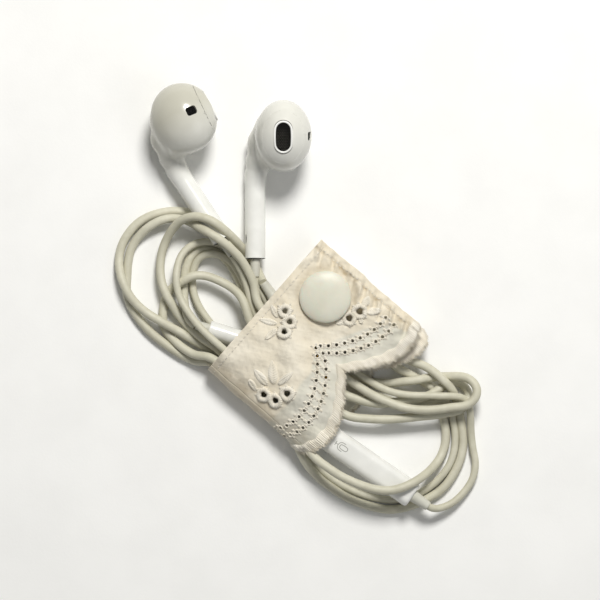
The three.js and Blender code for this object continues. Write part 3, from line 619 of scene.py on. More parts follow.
class Bud:
    """An earbud's outer form as a distance field, in the bud's own frame: stem along Y, nose up."""

    def __init__(self, side):
        centre = Vector((side * HEAD_CENTRE[0], *HEAD_CENTRE[1:]))
        self.nose = shifted(*centre) @ turned(NOSE_TILT, "X")
        self.to_nose = self.nose.inverted()
        *neck, throat = [(np.array((side * x, y, z)), radius) for (x, y, z), radius in (*NECK, THROAT)]
        self.limbs = [*zip(neck, neck[1:]), (neck[1], throat)]

    def distance(self, points):
        head_place = moved(points, self.to_nose)
        scaled = np.linalg.norm(head_place / HEAD_RADII, axis=1)
        steep = np.linalg.norm(head_place / np.square(HEAD_RADII), axis=1)
        head = scaled * (scaled - 1) / np.maximum(steep, 1e-9)
        form = capsule_distance(points, (0, 0, 0), (0, 20, 0), STEM_RADIUS, STEM_RADIUS)
        for (start, start_radius), (end, end_radius) in self.limbs:
            form = smooth_least(form, capsule_distance(points, start, end, start_radius, end_radius), 0.8)
        throat = np.clip((28 - points[:, 1]) / 5, 0, 1) * np.clip((points[:, 2] + 0.5) / 2, 0, 1)
        back = np.clip((3.5 - points[:, 2]) / 3, 0, 1)
        return smooth_least(form, head, 0.7 + np.maximum(2.4 * throat, 1.6 * back))

    def slope(self, points, value):
        """Which way the distance grows, from its value at the points."""
        step = 1e-3
        return np.stack([(self.distance(points + step * axis) - value) / step for axis in np.eye(3)], 1)

    def project(self, points, passes=4):
        """Points moved onto the form's surface."""
        for _ in range(passes):
            value = self.distance(points)
            slope = self.slope(points, value)
            points = points - slope * (value / np.maximum((slope**2).sum(1), 1e-6))[:, None]
        return points

    def surface(self, cell):
        """A fine closed mesh of the form, cut flat at the stem's end: points and triangles."""
        blank = lathe([(0, 0.0), (STEM_RADIUS, 0.0), (STEM_RADIUS, 21), (0, 22)], 32)
        blank = (np.array(blank[0])[:, [1, 0, 2]] * (1, 1, -1), blank[1])
        ball = lathe([(math.sin(a), -math.cos(a)) for a in np.linspace(0, math.pi, 24)], 32)
        head = moved(np.array(ball[0]) * HEAD_RADII, self.nose)
        neck = []
        for (start, start_radius), (end, end_radius) in self.limbs:
            for t in np.linspace(0, 1, 5):
                radius = start_radius + (end_radius - start_radius) * t
                neck.append(np.array(ball[0]) * radius + start + (end - start) * t)
        points, faces = [], []
        for cloud, quads in [blank, (head, ball[1])] + [(part, ball[1]) for part in neck]:
            start = sum(len(p) for p in points)
            points.append(cloud)
            faces += [[start + k for k in face] for face in quads]
        mesh = bpy.data.meshes.new("blank")
        mesh.from_pydata(np.vstack(points).tolist(), [], faces)
        obj = new_object("blank", mesh)
        remesh = obj.modifiers.new("remesh", "REMESH")
        remesh.mode = "VOXEL"
        remesh.voxel_size = cell
        graph = bpy.context.evaluated_depsgraph_get()
        fine = obj.evaluated_get(graph).to_mesh()
        points = np.zeros(len(fine.vertices) * 3)
        fine.vertices.foreach_get("co", points)
        points = points.reshape(-1, 3)
        fine.calc_loop_triangles()
        triangles = np.zeros(len(fine.loop_triangles) * 3, int)
        fine.loop_triangles.foreach_get("vertices", triangles)
        obj.evaluated_get(graph).to_mesh_clear()
        bpy.data.objects.remove(obj)
        bpy.data.meshes.remove(mesh)
        return self.relaxed(points, triangles.reshape(-1, 3))

    def relaxed(self, points, triangles):
        """The mesh evened out on the form's surface."""
        edges = edges_of(triangles)
        count = np.bincount(edges.ravel(), minlength=len(points))[:, None]
        for _ in range(3):
            points = self.project(points, 1)
            total = np.zeros_like(points)
            np.add.at(total, edges[:, 0], points[edges[:, 1]])
            np.add.at(total, edges[:, 1], points[edges[:, 0]])
            points = 0.5 * points + 0.5 * total / np.maximum(count, 1)
        return self.project(points), triangles


def stadium_field(points, width, length):
    """Signed distance to a stadium outline in X and Y, its long side along Y."""
    radius = width / 2
    reach = length / 2 - radius
    along = points[:, 1] - np.clip(points[:, 1], -reach, reach)
    return np.hypot(points[:, 0], along) - radius


def slot_field(points, width, height, radius):
    """Signed distance to a rounded rectangle in X and Y."""
    x = np.abs(points[:, 0]) - width / 2 + radius
    y = np.abs(points[:, 1]) - height / 2 + radius
    return np.hypot(np.maximum(x, 0), np.maximum(y, 0)) + np.minimum(np.maximum(x, y), 0) - radius


def tube(centres, ups, sides, radii, count):
    """Rings of points round a line's centres, each in the plane of its two directions."""
    angles = [2 * math.pi * k / count for k in range(count)]
    return [
        centre + radius * (math.cos(angle) * up + math.sin(angle) * side)
        for centre, up, side, radius in zip(centres, ups, sides, radii)
        for angle in angles
    ]


def ring_on_form(bud, outline, frame_matrix, radius, sink):
    """A rim swept round an outline that lies on the bud's surface: points and faces."""
    line = bud.project(moved(outline, frame_matrix), 8)
    normal = bud.slope(line, bud.distance(line))
    normal /= np.linalg.norm(normal, axis=1)[:, None]
    tangent = np.roll(line, -1, 0) - np.roll(line, 1, 0)
    tangent /= np.linalg.norm(tangent, axis=1)[:, None]
    across = np.cross(tangent, normal)
    steps = 10
    points = tube(line - sink * normal, normal, across, [radius] * len(line), steps)
    return points, grid_faces(len(line), steps, True, True)


def stadium_outline(width, length, count=72):
    radius = width / 2
    reach = length / 2 - radius
    turn = np.linspace(0, 2 * math.pi, count, endpoint=False)
    y = radius * np.sin(turn)
    y += np.sign(y) * reach * np.minimum(1, np.abs(y) * 3)
    return np.stack([radius * np.cos(turn), y, 0 * turn], 1)


def perforated_plate(width, length, bow):
    """A domed grille plate with real holes in a close hexagonal pattern: points and faces."""
    pitch = 0.42
    points, faces = [], []
    rows = int(length / (pitch * 0.866)) // 2 + 1
    columns = int(width / pitch) // 2 + 1
    corners = [math.radians(60 * k + 30) for k in range(6)]
    hexagon = [(math.cos(angle), math.sin(angle)) for angle in corners]
    for row in range(-rows, rows + 1):
        for column in range(-columns, columns + 1):
            x = (column + 0.5 * (row % 2)) * pitch
            y = row * pitch * 0.866
            if stadium_field(np.array([(x, y, 0)]), width, length)[0] > 0.05:
                continue
            start = len(points)
            for size, drop in ((0.5774, 0.0), (0.36, 0.0), (0.33, 0.16)):
                for a, b in hexagon:
                    px, py = x + a * pitch * size, y + b * pitch * size
                    points.append((px, py, bow * (1 - (2 * py / length) ** 2) - drop))
            for ring in (0, 6):
                for k in range(6):
                    m = (k + 1) % 6
                    faces.append([start + ring + corner for corner in (k, m, 6 + m, 6 + k)])
    return points, faces


def make_bud(name, side, spot, shell, rim_finish, mesh_finish, boot_finish):
    """One earbud: its two shells, grilles, stem slit, a black ring as painted shadow in the gap at the stem's end,
    and boot; side is 1 for the right one.
    """
    bud = Bud(side)
    matrix = placed(spot)
    points, triangles = bud.surface(0.26)

    def nose_place(cloud):
        return moved(cloud, bud.to_nose)

    # Parted at the seam, the front bored for the grille and the rear for the vent.
    def seam(cloud):
        return nose_place(cloud)[:, 2] - SEAM_HEIGHT

    points, mark = snap_to_curve(points, triangles, seam, bud.project)
    in_front = beyond(mark, triangles)
    grille = (GRILLE["width"] + GRILLE_MARGIN, GRILLE["length"] + GRILLE_MARGIN)

    def grille_edge(cloud):
        place = nose_place(cloud)
        return np.where(place[:, 2] > 0, stadium_field(place, *grille), FAR)

    opened_front = opened(*part_of(points, triangles, in_front), grille_edge, bud.project)
    front = with_rim(f"{name}_front", *opened_front, SHELL_WALL, matrix)
    finish_piece(front, shell, "white_shell", nodes=(f"{name}_front_shell",))

    vent_frame = bud.nose @ turned(side * (90 - VENT_ANGLE), "Y")
    to_vent = vent_frame.inverted()

    def vent_edge(cloud):
        place = moved(cloud, to_vent)
        return np.where(place[:, 2] > 3, slot_field(place, 2.6, 2.1, 0.6), FAR)

    rear_points, rear_faces = opened(*part_of(points, triangles, ~in_front), vent_edge, bud.project)
    at_seam = np.abs(seam(rear_points)) < 1e-2
    rear_points[at_seam] -= SEAM_GAP * np.array(bud.nose)[:3, 2]
    rear = with_rim(f"{name}_rear", rear_points, rear_faces, SHELL_WALL, matrix)
    finish_piece(rear, shell, "white_shell", nodes=(f"{name}_rear_shell",))

    outline = stadium_outline(GRILLE["width"] + 0.55, GRILLE["length"] + 0.55) + (0, 0, 8)
    rim = mesh_piece(f"{name}_grille_rim", *ring_on_form(bud, outline, bud.nose, 0.26, 0.02), matrix)
    finish_piece(rim, rim_finish, "white_shell")
    plates = (
        ("front_mesh", (*grille, 0.55), bud.nose, GRILLE["recess"], "front_grille"),
        ("vent_mesh", (2.5, 2.9, 0.05), vent_frame, 6.25, "side_grille"),
    )
    for part, sizes, frame_matrix, level, node in plates:
        place = matrix @ frame_matrix @ shifted(0, 0, level)
        plate = mesh_piece(f"{name}_{part}", *perforated_plate(*sizes), place)
        finish_piece(plate, mesh_finish, "grille_mesh", nodes=(f"{name}_{node}",))

    slit_frame = matrix @ turned(-62, "Y") @ shifted(0, 4.6, STEM_RADIUS - 0.02)
    slit = mesh_piece(f"{name}_stem_slit", *pill(0.5, 3.4, 0.12), slit_frame)
    finish_piece(slit, mesh_finish, "grille_mesh")
    along_y = turned(90, "Z")
    # Painted shadow: a black ring stands for the shaded gap between the stem's end and the boot.
    stem_gap_shadow = [(0, -0.12), (1.5, -0.12), (1.62, 0.1), (0, 0.1)]
    stem_gap_shadow_piece = turned_piece(f"{name}_collar", stem_gap_shadow, matrix @ along_y, 40, 0.08)
    finish_piece(stem_gap_shadow_piece, mesh_finish, "insulator_black")
    boot = [(0, -4.4), (1.0, -4.4), (1.05, -4.3), (1.22, -1.2), (1.3, -0.4), (1.3, 0.3), (0, 0.3)]
    boot_piece = turned_piece(f"{name}_strain_relief", boot, matrix @ along_y, 40, 0.2)
    finish_piece(boot_piece, boot_finish, "boot_rubber", nodes=(f"{name}_boot",))


def pill(width, length, height):
    """A low rounded bar, its long side along Y: points and faces."""
    sides = 28
    points = []
    for inset, level in ((0.0, -height), (0.0, 0.0), (0.08, 0.04)):
        points += (stadium_outline(width - 2 * inset, length - 2 * inset, sides) + (0, 0, level)).tolist()
    faces = grid_faces(3, sides, close_columns=True)
    faces.append(list(range(2 * sides, 3 * sides)))
    return points, faces


# ---------- Remote, splitter and plug ----------
def bar_section(width, height, corner, inset):
    """A round-cornered section in (y, z), smaller by an inset."""
    per_corner = 8
    points = []
    half_width, half_height = width / 2 - inset, height / 2 - inset
    radius = max(corner - inset, 0.05)
    for quarter in range(4):
        sign_y = (1, -1, -1, 1)[quarter]
        sign_z = (1, 1, -1, -1)[quarter]
        for k in range(per_corner):
            angle = math.radians(90 * (quarter + k / (per_corner - 1)))
            y = sign_y * (half_width - radius) + radius * math.cos(angle)
            z = sign_z * (half_height - radius) + radius * math.sin(angle)
            points.append((y, z))
    return points


def rounded_bar(length, width, height, corner, end_radius):
    """A closed bar along X with softly rounded ends: points and faces."""
    points = []
    angles = np.radians(range(0, 91, 10))
    ends = [(end_radius * (1 - math.cos(a)) - length / 2, end_radius * (1 - math.sin(a))) for a in angles]
    stations = ends + [(-x, inset) for x, inset in ends[::-1]]
    for x, inset in stations:
        section = bar_section(width, height, corner, inset)
        points += [(x, y, z) for y, z in section]
    count = len(section)
    faces = [face[::-1] for face in grid_faces(len(stations), count, close_columns=True)]
    faces.append(list(range(count)))
    faces.append(list(range(len(points) - count, len(points)))[::-1])
    return points, faces


def half_of(obj, level, keep_above):
    """Cuts a mesh, in millimetres, by a level plane and caps it."""
    work = bmesh.new()
    work.from_mesh(obj.data)
    geometry = work.verts[:] + work.edges[:] + work.faces[:]
    cut = bmesh.ops.bisect_plane(
        work, geom=geometry, plane_co=(0, 0, level * MM), plane_no=(0, 0, 1),
        clear_inner=keep_above, clear_outer=not keep_above,
    )
    rim = [item for item in cut["geom_cut"] if isinstance(item, bmesh.types.BMEdge)]
    bmesh.ops.contextual_create(work, geom=rim)
    for edge in rim:
        edge.smooth = False
    work.to_mesh(obj.data)
    work.free()


def carve(obj, cutters):
    """Takes other pieces out of a mesh, and removes them."""
    for cutter in cutters:
        modifier = obj.modifiers.new("carve", "BOOLEAN")
        modifier.operation = "DIFFERENCE"
        modifier.solver = "EXACT"
        modifier.object = cutter
    graph = bpy.context.evaluated_depsgraph_get()
    mesh = bpy.data.meshes.new_from_object(obj.evaluated_get(graph))
    obj.modifiers.clear()
    obj.data = mesh
    mesh.name = obj.name
    mesh.polygons.foreach_set("use_smooth", [True] * len(mesh.polygons))
    mesh.set_sharp_from_angle(angle=math.radians(35))
    for cutter in cutters:
        bpy.data.objects.remove(cutter)


def carry(obj, matrix):
    """Moves a mesh that was built in a part's own frame, in millimetres, into the object's."""
    obj.data.vertices.foreach_set("co", (moved(mesh_points(obj) / MM, matrix) * MM).ravel())
    obj.data.update()


def key_shape(name, length, width, low, high, corner=1.2):
    """A softly rounded key along X, from low to high."""
    points = []
    levels = [(low, 0.35), (low + 0.06, 0.14), (low + 0.2, 0.03), (low + 0.4, 0.0), (high, 0.0)]
    for level, inset in levels:
        points += [(y, z, level) for y, z in bar_section(length, width, corner, inset)]
    count = len(points) // len(levels)
    faces = grid_faces(len(levels), count, close_columns=True)
    faces.append(list(range(count))[::-1])
    faces.append(list(range(len(points) - count, len(points))))
    return mesh_piece(name, points, faces, sharp_angle=40)


def mic_glyph():
    """A generic microphone sign: strokes as lists of points in X and Y, in millimetres."""
    capsule = [(x, y + 0.5) for x, y, _ in stadium_outline(1.1, 2.1, 28)]
    cradle = [(math.cos(a), math.sin(a) - 0.1) for a in np.linspace(math.pi, 2 * math.pi, 16)]
    cradle = [(-1.0, 0.5)] + cradle + [(1.0, 0.5)]
    return [capsule + capsule[:1], cradle, [(0, -1.1), (0, -1.75)], [(-0.55, -1.75), (0.55, -1.75)]]


def make_stroke(points, width, level):
    """A thin printed line: points and faces."""
    line = np.array(points, float)
    tangent = np.gradient(line, axis=0)
    tangent /= np.linalg.norm(tangent, axis=1)[:, None]
    side = np.stack([-tangent[:, 1], tangent[:, 0]], 1) * width / 2
    cloud = []
    for middle, edge in zip(line, side):
        for share, height in ((-1, -0.02), (-0.7, 0.012), (0.7, 0.012), (1, -0.02)):
            cloud.append((*(middle + share * edge), level + height))
    return cloud, grid_faces(len(line), 4)


def make_remote(shell, key_finish, boot_finish, ink):
    """The remote on its back: two covers, three keys, a microphone sign and a boot at each end."""
    matrix = placed(REMOTE)
    length, width, height = REMOTE["length"], REMOTE["width"], REMOTE["height"]
    bar = rounded_bar(length, width, height, 1.95, 0.8)
    back = mesh_piece("remote_back", *bar, sharp_angle=40)
    half_of(back, 0.06, True)
    port = turned_piece("port", [(0, -0.5), (0.32, -0.5), (0.32, 0.5), (0, 0.5)], Matrix.Identity(4), 20, 0.02)
    carry(port, shifted(2, 0, height / 2) @ turned(90, "Y"))
    carve(back, [port])
    carry(back, matrix)
    finish_piece(back, shell, "white_shell", nodes=("remote_back_cover",))

    front = mesh_piece("remote_front", *bar, sharp_angle=40)
    half_of(front, -0.06, False)
    carve(front, [opening_at(x, key_length, height) for x, key_length in BUTTONS])
    carry(front, matrix)
    finish_piece(front, shell, "white_shell", nodes=("remote_front_cover",))
    names = (("volume_up", "volume_up_button"), ("centre", "centre_button"), ("volume_down", "volume_down_button"))
    for (x, key_length), (body, node) in zip(BUTTONS, names):
        key = key_shape(f"remote_{body}_key", key_length, 3.6, -height / 2 - 0.35, -height / 2 + 0.8)
        carry(key, matrix @ shifted(x, 0, 0))
        finish_piece(key, key_finish, "white_shell", body, (node,))

    points, faces = [], []
    for stroke in mic_glyph():
        cloud, quads = make_stroke(stroke, 0.2, height / 2)
        faces += [[len(points) + k for k in quad] for quad in quads]
        points += cloud
    sign = mesh_piece("remote_sign", points, faces, matrix @ shifted(-3.9, 0, 0) @ turned(-90, "Z"))
    finish_piece(sign, ink, "insulator_black")

    ends = (
        ("remote_upper", 5.6, shifted(-length / 2, 0, 0) @ turned(180, "Z")),
        ("remote_lower", 4.4, shifted(length / 2, 0, 0)),
    )
    for name, reach, place in ends:
        profile = [(0, -0.4), (1.0, -0.4), (1.45, 0.1), (1.45, 0.4), (1.1, reach), (0.95, reach), (0, reach)]
        boot = turned_piece(f"{name}_strain_relief", profile, matrix @ place, 40, 0.25)
        finish_piece(boot, boot_finish, "boot_rubber", nodes=(f"{name}_boot",))


def opening_at(x, key_length, height):
    """The cutter for a key's opening in the front cover."""
    cutter = key_shape("opening", key_length + 0.35, 3.95, -height / 2 - 1, -height / 2 + 1.15, 1.35)
    carry(cutter, shifted(x, 0, 0))
    return cutter


def make_splitter(shell, boot_finish):
    """The splitter's sleeve, with a boot for the main cord and an end plate for the branches."""
    matrix = placed(SPLITTER)
    length, radius = SPLITTER["length"], SPLITTER["radius"]
    sleeve = [(1.2, 0.9), (1.3, 0), (radius, 0), (radius, length), (1.3, length), (1.2, length - 0.9)]
    piece = turned_piece("splitter_housing", sleeve, matrix, 56, 0.35)
    finish_piece(piece, shell, "white_shell", nodes=("splitter_sleeve",))
    boot = [(0, -3.2), (1.08, -3.2), (1.12, -3.0), (1.25, 0.9), (0, 0.9)]
    piece = turned_piece("splitter_strain_relief", boot, matrix, 40, 0.2)
    finish_piece(piece, boot_finish, "boot_rubber", nodes=("splitter_boot",))
    end_plate = [(0, length - 0.5), (1.25, length - 0.5), (1.25, length - 0.9)]
    piece = turned_piece("splitter_end", end_plate, matrix, 40, 0.1)
    finish_piece(piece, boot_finish, "boot_rubber")


def make_plug(shell, boot_finish, gold, black):
    """A straight four-contact jack plug under the wrap; returns the names of its pieces."""
    matrix = placed(PLUG, placed(WRAP))
    boot_length, radius = PLUG["boot"], PLUG["radius"]
    end = boot_length + PLUG["housing"]
    start = end + 0.05
    boot = [(0, 0), (1.1, 0), (1.15, 0.3), (1.3, 3.0), (1.9, boot_length - 0.1), (0, boot_length - 0.1)]
    bands = [(0, start), (1.62, start + 0.1), (1.62, start + 10.3), (0, start + 10.3)]
    tip = start + 10.4
    nose = ((0, 0), (1.75, 0), (1.75, 0.8), (1.22, 1.6), (1.68, 2.4), (0.7, 3.6), (0, 3.7))

    def rod(low, high, thickness=JACK_RADIUS):
        return [(0, low), (thickness, low), (thickness, high), (0, high)]

    pieces = (
        ("strain_relief", boot, boot_finish, "boot_rubber", "plug_boot", 0.3),
        ("body", rod(boot_length, end, radius), shell, "white_shell", "plug_housing", 0.4),
        ("sleeve", rod(start, start + 5.5), gold, "jack_gold", "jack_sleeve", 0.06),
        ("ring_two", rod(start + 6.0, start + 7.7), gold, "jack_gold", "jack_ring_2", 0.06),
        ("ring_one", rod(start + 8.2, start + 9.9), gold, "jack_gold", "jack_ring_1", 0.06),
        ("bands", bands, black, "insulator_black", "jack_insulator", 0.05),
        ("tip", [(r, tip + x) for r, x in nose], gold, "jack_gold", "jack_tip", 0.25),
    )
    made = []
    for name, profile, material, slot, node, soften in pieces:
        piece = turned_piece(f"plug_{name}", profile, matrix, 48, soften)
        made.append(finish_piece(piece, material, slot, nodes=(node,)).name)
    return made


# ---------- Lace wrap ----------
# The cloth's line across the bundle as (u, z): from the flap's end over the top, round the
# far fold, back underneath, and up into the tab. u is the distance from the flap's end.
WRAP_SECTION = (
    (-0.3, 8.8), (1.5, 9.35), (5.0, 9.95), (9.4, 10.15), (15.0, 10.25), (22.0, 10.35), (28.0, 10.3),
    (33.0, 10.0), (36.2, 9.3), (38.6, 8.1), (40.4, 6.5), (41.0, 4.9), (40.5, 3.0), (38.6, 1.3), (35.5, 0.5),
    (30.0, 0.3), (20.0, 0.3), (8.0, 0.3), (3.5, 0.35), (1.2, 1.2), (0.2, 3.2), (0.8, 5.2), (2.8, 6.5),
    (6.0, 6.8), (10.0, 6.85), (15.7, 6.85),
)
# Along t: where the flap ends and the band begins, a scallop's length, and a valley between two.
FOLD_LENGTH = 40.6
SCALLOP_LENGTH = 29.0
VALLEY = 20.1
# How far along s the thin zone beside the scallops starts, as (t, s).
SHEER_EDGE = (
    (0, 34), (2.4, 31), (3.6, 28.6), (4.7, 25.6), (6.3, 23.4), (10.4, 20.8), (14.8, 18.5), (19, 16.8),
    (21.9, 16.4), (25.7, 18.6), (29.5, 18.5), (32.7, 19.6), (40.7, 18.8), (52, 20), (110, 20),
)
# Each flower's large eyelets are (s, t, radius), its petals (tip s, tip t, root s, root t, width).
FLOWER_EYELETS = (
    (4.7, 18.7, 0.7), (7.2, 19.9, 0.74), (7.8, 22.5, 0.7),
    (14, 37.3, 0.82), (17, 36.4, 0.82), (18, 33.1, 0.82),
    (17.3, 9.9, 0.82), (18.1, 7.1, 0.86),
    (9, 58, 0.82), (11.6, 60, 0.82), (9.4, 62.6, 0.82),
    (13, 74, 0.82), (16, 73, 0.82), (17.2, 76.2, 0.82),
)
PETALS = (
    (1.2, 24.3, 5.4, 22.1, 1.7), (5.6, 27, 6.1, 22.9, 1.8), (1.1, 19.7, 4.6, 21, 1.6),
    (8.2, 34, 13.3, 34.8, 2.2), (10, 29.5, 14.3, 33.7, 2.5), (15.7, 28.2, 15, 33, 1.8),
    (12.2, 37.9, 8.9, 36.6, 1.7),
    (17.4, 2.9, 18, 5.8, 2), (21.9, 3.4, 19.4, 6.3, 2), (20.6, 9, 19.2, 8.2, 1.3), (15.6, 13, 16.8, 11.2, 1.8),
    (4.2, 62, 8, 61, 1.7), (4.6, 57, 8, 59.4, 1.7), (15.2, 62, 12, 61, 1.7),
    (8.6, 76.6, 12.4, 75.4, 1.8), (9.8, 71.4, 12.8, 73.2, 1.8), (20.6, 77.6, 18, 76.6, 1.6),
)
# The cloth's wrinkles, from broad to fine: how quickly each turns, and its height.
WRINKLES = (
    (0.16, 0.3), (0.23, 0.22), (0.35, 0.15), (0.5, 0.11), (0.72, 0.08), (1.0, 0.055), (1.5, 0.03), (2.1, 0.02),
)


class Cloth:
    """The wrap's surface: s runs along the bundle from the hemmed edge, t across it along the cloth."""

    def __init__(self):
        line = smooth_route([(u, z, 0) for u, z in WRAP_SECTION], step=0.25, rounds=6)[:, :2]
        self.line = line
        self.t = np.concatenate([[0], np.cumsum(np.linalg.norm(np.diff(line, axis=0), axis=1))])
        self.total = self.t[-1]
        slope = np.gradient(line, axis=0)
        slope /= np.linalg.norm(slope, axis=1)[:, None]
        self.normal = np.stack([-slope[:, 1], slope[:, 0]], 1)
        rng = np.random.default_rng(7)
        self.waves = [
            (rng.uniform(-1, 1) * rate, rng.uniform(0.4, 1) * rate, rng.uniform(0, 6.28), size)
            for rate, size in WRINKLES
            for _ in range(3)
        ]

    def edge(self, t):
        """How far the scalloped edge is from the hemmed one."""
        lobe = np.abs(np.sin(np.pi * (t - VALLEY) / SCALLOP_LENGTH))
        small = np.abs(np.sin(np.pi * (t - VALLEY) / (SCALLOP_LENGTH / 8)))
        skew = 2.8 * np.clip((t - 84) / 8, 0, 1) ** 2
        return 24.5 + 7.9 * lobe + 0.28 * small + skew

    def wander(self, s):
        """How far the hem's crease strays from a straight line."""
        return 0.25 * np.sin(s * 0.8) + 0.12 * np.sin(s * 2.1 + 1)

    def relief(self, s, t):
        """How far the cloth stands off its line, for wrinkles, hems and the pull of the snap."""
        # Broad to fine wrinkles.
        height = np.zeros(np.broadcast(s, t).shape)
        for a, b, phase, size in self.waves:
            height = height + size * np.sin(a * s * 2 + b * t * 2 + phase)
        height *= 0.62
        # Puckers round the snap, and flat cloth under its cap.
        reach = np.hypot(s - SNAP["x"], t + SNAP["y"])
        angle = np.arctan2(t + SNAP["y"], s - SNAP["x"])
        pull = np.exp(-((reach - 8.2) / 2.6) ** 2)
        height = height + 0.30 * pull * np.sin(5 * angle + 0.8) * (0.6 + 0.4 * np.sin(2 * angle + 2))
        settle = np.clip((reach - 5.6) / 2.0, 0, 1)
        height = height * settle
        # The crumpled strip, the turned-in hem and its crease at the flap's end.
        crumple = np.sin(s * 1.9 + 1.5 * np.sin(t * 1.1)) + 0.7 * np.sin(s * 3.3 - t * 1.7 + 2)
        height = height + 0.36 * crumple * np.exp(-(((t - 3.0) / 2.6) ** 2)) * settle
        wander = self.wander(s)
        hem = 1 / (1 + np.exp((t - 1.9 - wander) / 0.16))
        crease = np.exp(-((t - 2.15 - wander) / 0.32) ** 2)
        height = height + 0.24 * hem - 0.34 * crease * (0.7 + 0.3 * np.sin(s * 2.9))
        # The hem along the straight edge; the far fold and the tab lie smoother.
        side_hem = 1 / (1 + np.exp((s - 1.75) / 0.2))
        side_crease = np.exp(-((s - 1.9) / 0.3) ** 2)
        height = height + 0.05 * side_hem - 0.07 * side_crease * (0.7 + 0.3 * np.sin(t * 4.2))
        under = np.clip((t - 88) / 6, 0, 1)
        fold = np.exp(-(((t - 42) / 5) ** 2))
        return height * (1 - 0.6 * under) * (1 - 0.75 * fold)

    def painted_fold_shade(self, s, t):
        """Painted shade on the cloth: along the hem's crease, round the snap's rim, at the far fold and at the
        flap's end.
        """
        broken = 0.6 + 0.4 * np.sin(s * 1.7 + 0.6 * np.sin(s * 4.3))
        hem = np.exp(-(((t - 2.2 - self.wander(s)) / 0.42) ** 2)) * broken
        reach = np.hypot(s - SNAP["x"], t + SNAP["y"])
        ring = 0.5 * np.exp(-(((reach - 6.9) / 0.9) ** 2))
        fold = 0.55 * np.exp(-(((t - 40) / 3.2) ** 2)) + 0.25 * np.exp(-((t / 5.0) ** 2))
        return np.clip(hem + ring + fold, 0, 1)

    def place(self, s, t):
        """Points in the wrap's frame, in millimetres."""
        s, t = np.broadcast_arrays(np.asarray(s, float), np.asarray(t, float))
        u, z, out_u, out_z = (np.interp(t, self.t, values) for values in (*self.line.T, *self.normal.T))
        height = self.relief(s, t)
        droop = np.clip((s - 24) / 8, 0, 1) ** 2 * np.where(t < FOLD_LENGTH - 6, 1.0, 0.3)
        level = np.maximum(z + out_z * height - 0.7 * droop, 0.12)
        return np.stack([s, -(u + out_u * height), level], -1)

    def frames(self, s, t):
        """Points, with the directions along s and t and the way out of the cloth."""
        step = 0.05
        point = self.place(s, t)
        along = self.place(np.add(s, step), t) - point
        across = self.place(s, np.add(t, step)) - point
        along /= np.linalg.norm(along, axis=-1, keepdims=True)
        out = np.cross(across, along)
        out /= np.linalg.norm(out, axis=-1, keepdims=True)
        return point, along, np.cross(along, out), out


def eyelet_rows(cloth):
    """The two rows of small eyelets that follow each scallop: (s, t, radius) each."""
    eyelets = []
    for start, height, flare in ((17.7, 8.7, 0.72), (15.4, 8.4, 0.78)):
        t = np.linspace(0, cloth.total, 6000)
        lobe = np.abs(np.sin(np.pi * (t - VALLEY) / SCALLOP_LENGTH)) ** flare
        s = start + height * lobe
        walked = np.concatenate([[0], np.cumsum(np.hypot(np.diff(s), np.diff(t)))])
        for mark in np.arange(0.4, walked[-1] - 1, 1.95):
            k = int(np.searchsorted(walked, mark))
            if 3.4 < t[k] < cloth.total - 14:
                eyelets.append((float(s[k]), float(t[k]), EYELET_RADIUS))
    return eyelets


class Batch:
    """Several small shapes gathered into one mesh, with how far along its thread each point is."""

    def __init__(self):
        self.points, self.faces, self.thread = [], [], []

    def add(self, points, faces, thread):
        start = len(self.points)
        self.points += [tuple(p) for p in points]
        self.faces += [[start + k for k in face] for face in faces]
        self.thread += list(thread)

    def piece(self, name, matrix):
        """One mesh of them all, pressed flat where it would dip into the table."""
        obj = mesh_piece(name, self.points, self.faces, matrix)
        places = mesh_points(obj)
        places[:, 2] = np.maximum(places[:, 2], TABLE_GAP * MM)
        obj.data.vertices.foreach_set("co", places.ravel())
        set_attribute(obj, "thread", self.thread)
        return obj


def add_ring(batch, cloth, s, t, radius, width, rise, seed):
    """A raised stitched rim round an eyelet, hugging the cloth."""
    count, sides = 40, 8
    turn = np.linspace(0, 2 * math.pi, count, endpoint=False)
    wobble = 1 + 0.05 * np.sin(3 * turn + seed) + 0.03 * np.sin(5 * turn + 2 * seed)
    reach = (radius + width * 0.8) * wobble
    point, _, _, out = cloth.frames(s + reach * np.cos(turn), t + reach * np.sin(turn))
    radial = point - cloth.place(s, t)
    radial /= np.linalg.norm(radial, axis=1)[:, None]
    points, thread = [], []
    for k in range(count):
        ridge = 1 + 0.14 * math.sin(count / 2 * turn[k])
        for j in range(sides):
            angle = 2 * math.pi * j / sides
            spot = point[k] + width * math.cos(angle) * radial[k]
            points.append(spot + rise * ridge * math.sin(angle) * out[k])
            thread.append(turn[k] * (radius + width))
    batch.add(points, grid_faces(count, sides, True, True), thread)


def add_petal(batch, cloth, tip_s, tip_t, root_s, root_t, width, rise=0.42):
    """A satin-stitched leaf, domed across and pointed at both ends."""
    length = math.hypot(tip_s - root_s, tip_t - root_t)
    side_s, side_t = -(tip_t - root_t) / length, (tip_s - root_s) / length
    rows, columns = (26, 11) if width > 1 else (7, 5)
    share, cross = np.meshgrid(np.linspace(0, 1, rows), np.linspace(-1, 1, columns), indexing="ij")
    half = 0.5 * width * np.abs(np.sin(math.pi * share**0.85)) ** 0.75 + 0.02
    s = root_s + (tip_s - root_s) * share + side_s * half * cross
    t = root_t + (tip_t - root_t) * share + side_t * half * cross
    point, _, _, out = cloth.frames(s.ravel(), t.ravel())
    ridge = 1 + 0.12 * np.sin(share * length * 2 * math.pi / 0.5 + 1.2 * np.abs(cross))
    dome = rise * np.sqrt(np.maximum(0.0, 1 - cross**2)) * np.minimum(1.0, half / (0.3 * width)) * ridge
    groove = 1 - 0.35 * np.exp(-((cross / 0.16) ** 2)) * (width > 1)
    points = point + out * (dome * groove - 0.06).ravel()[:, None]
    batch.add(points, grid_faces(rows, columns), (share * length + 0.5 * np.abs(cross)).ravel())


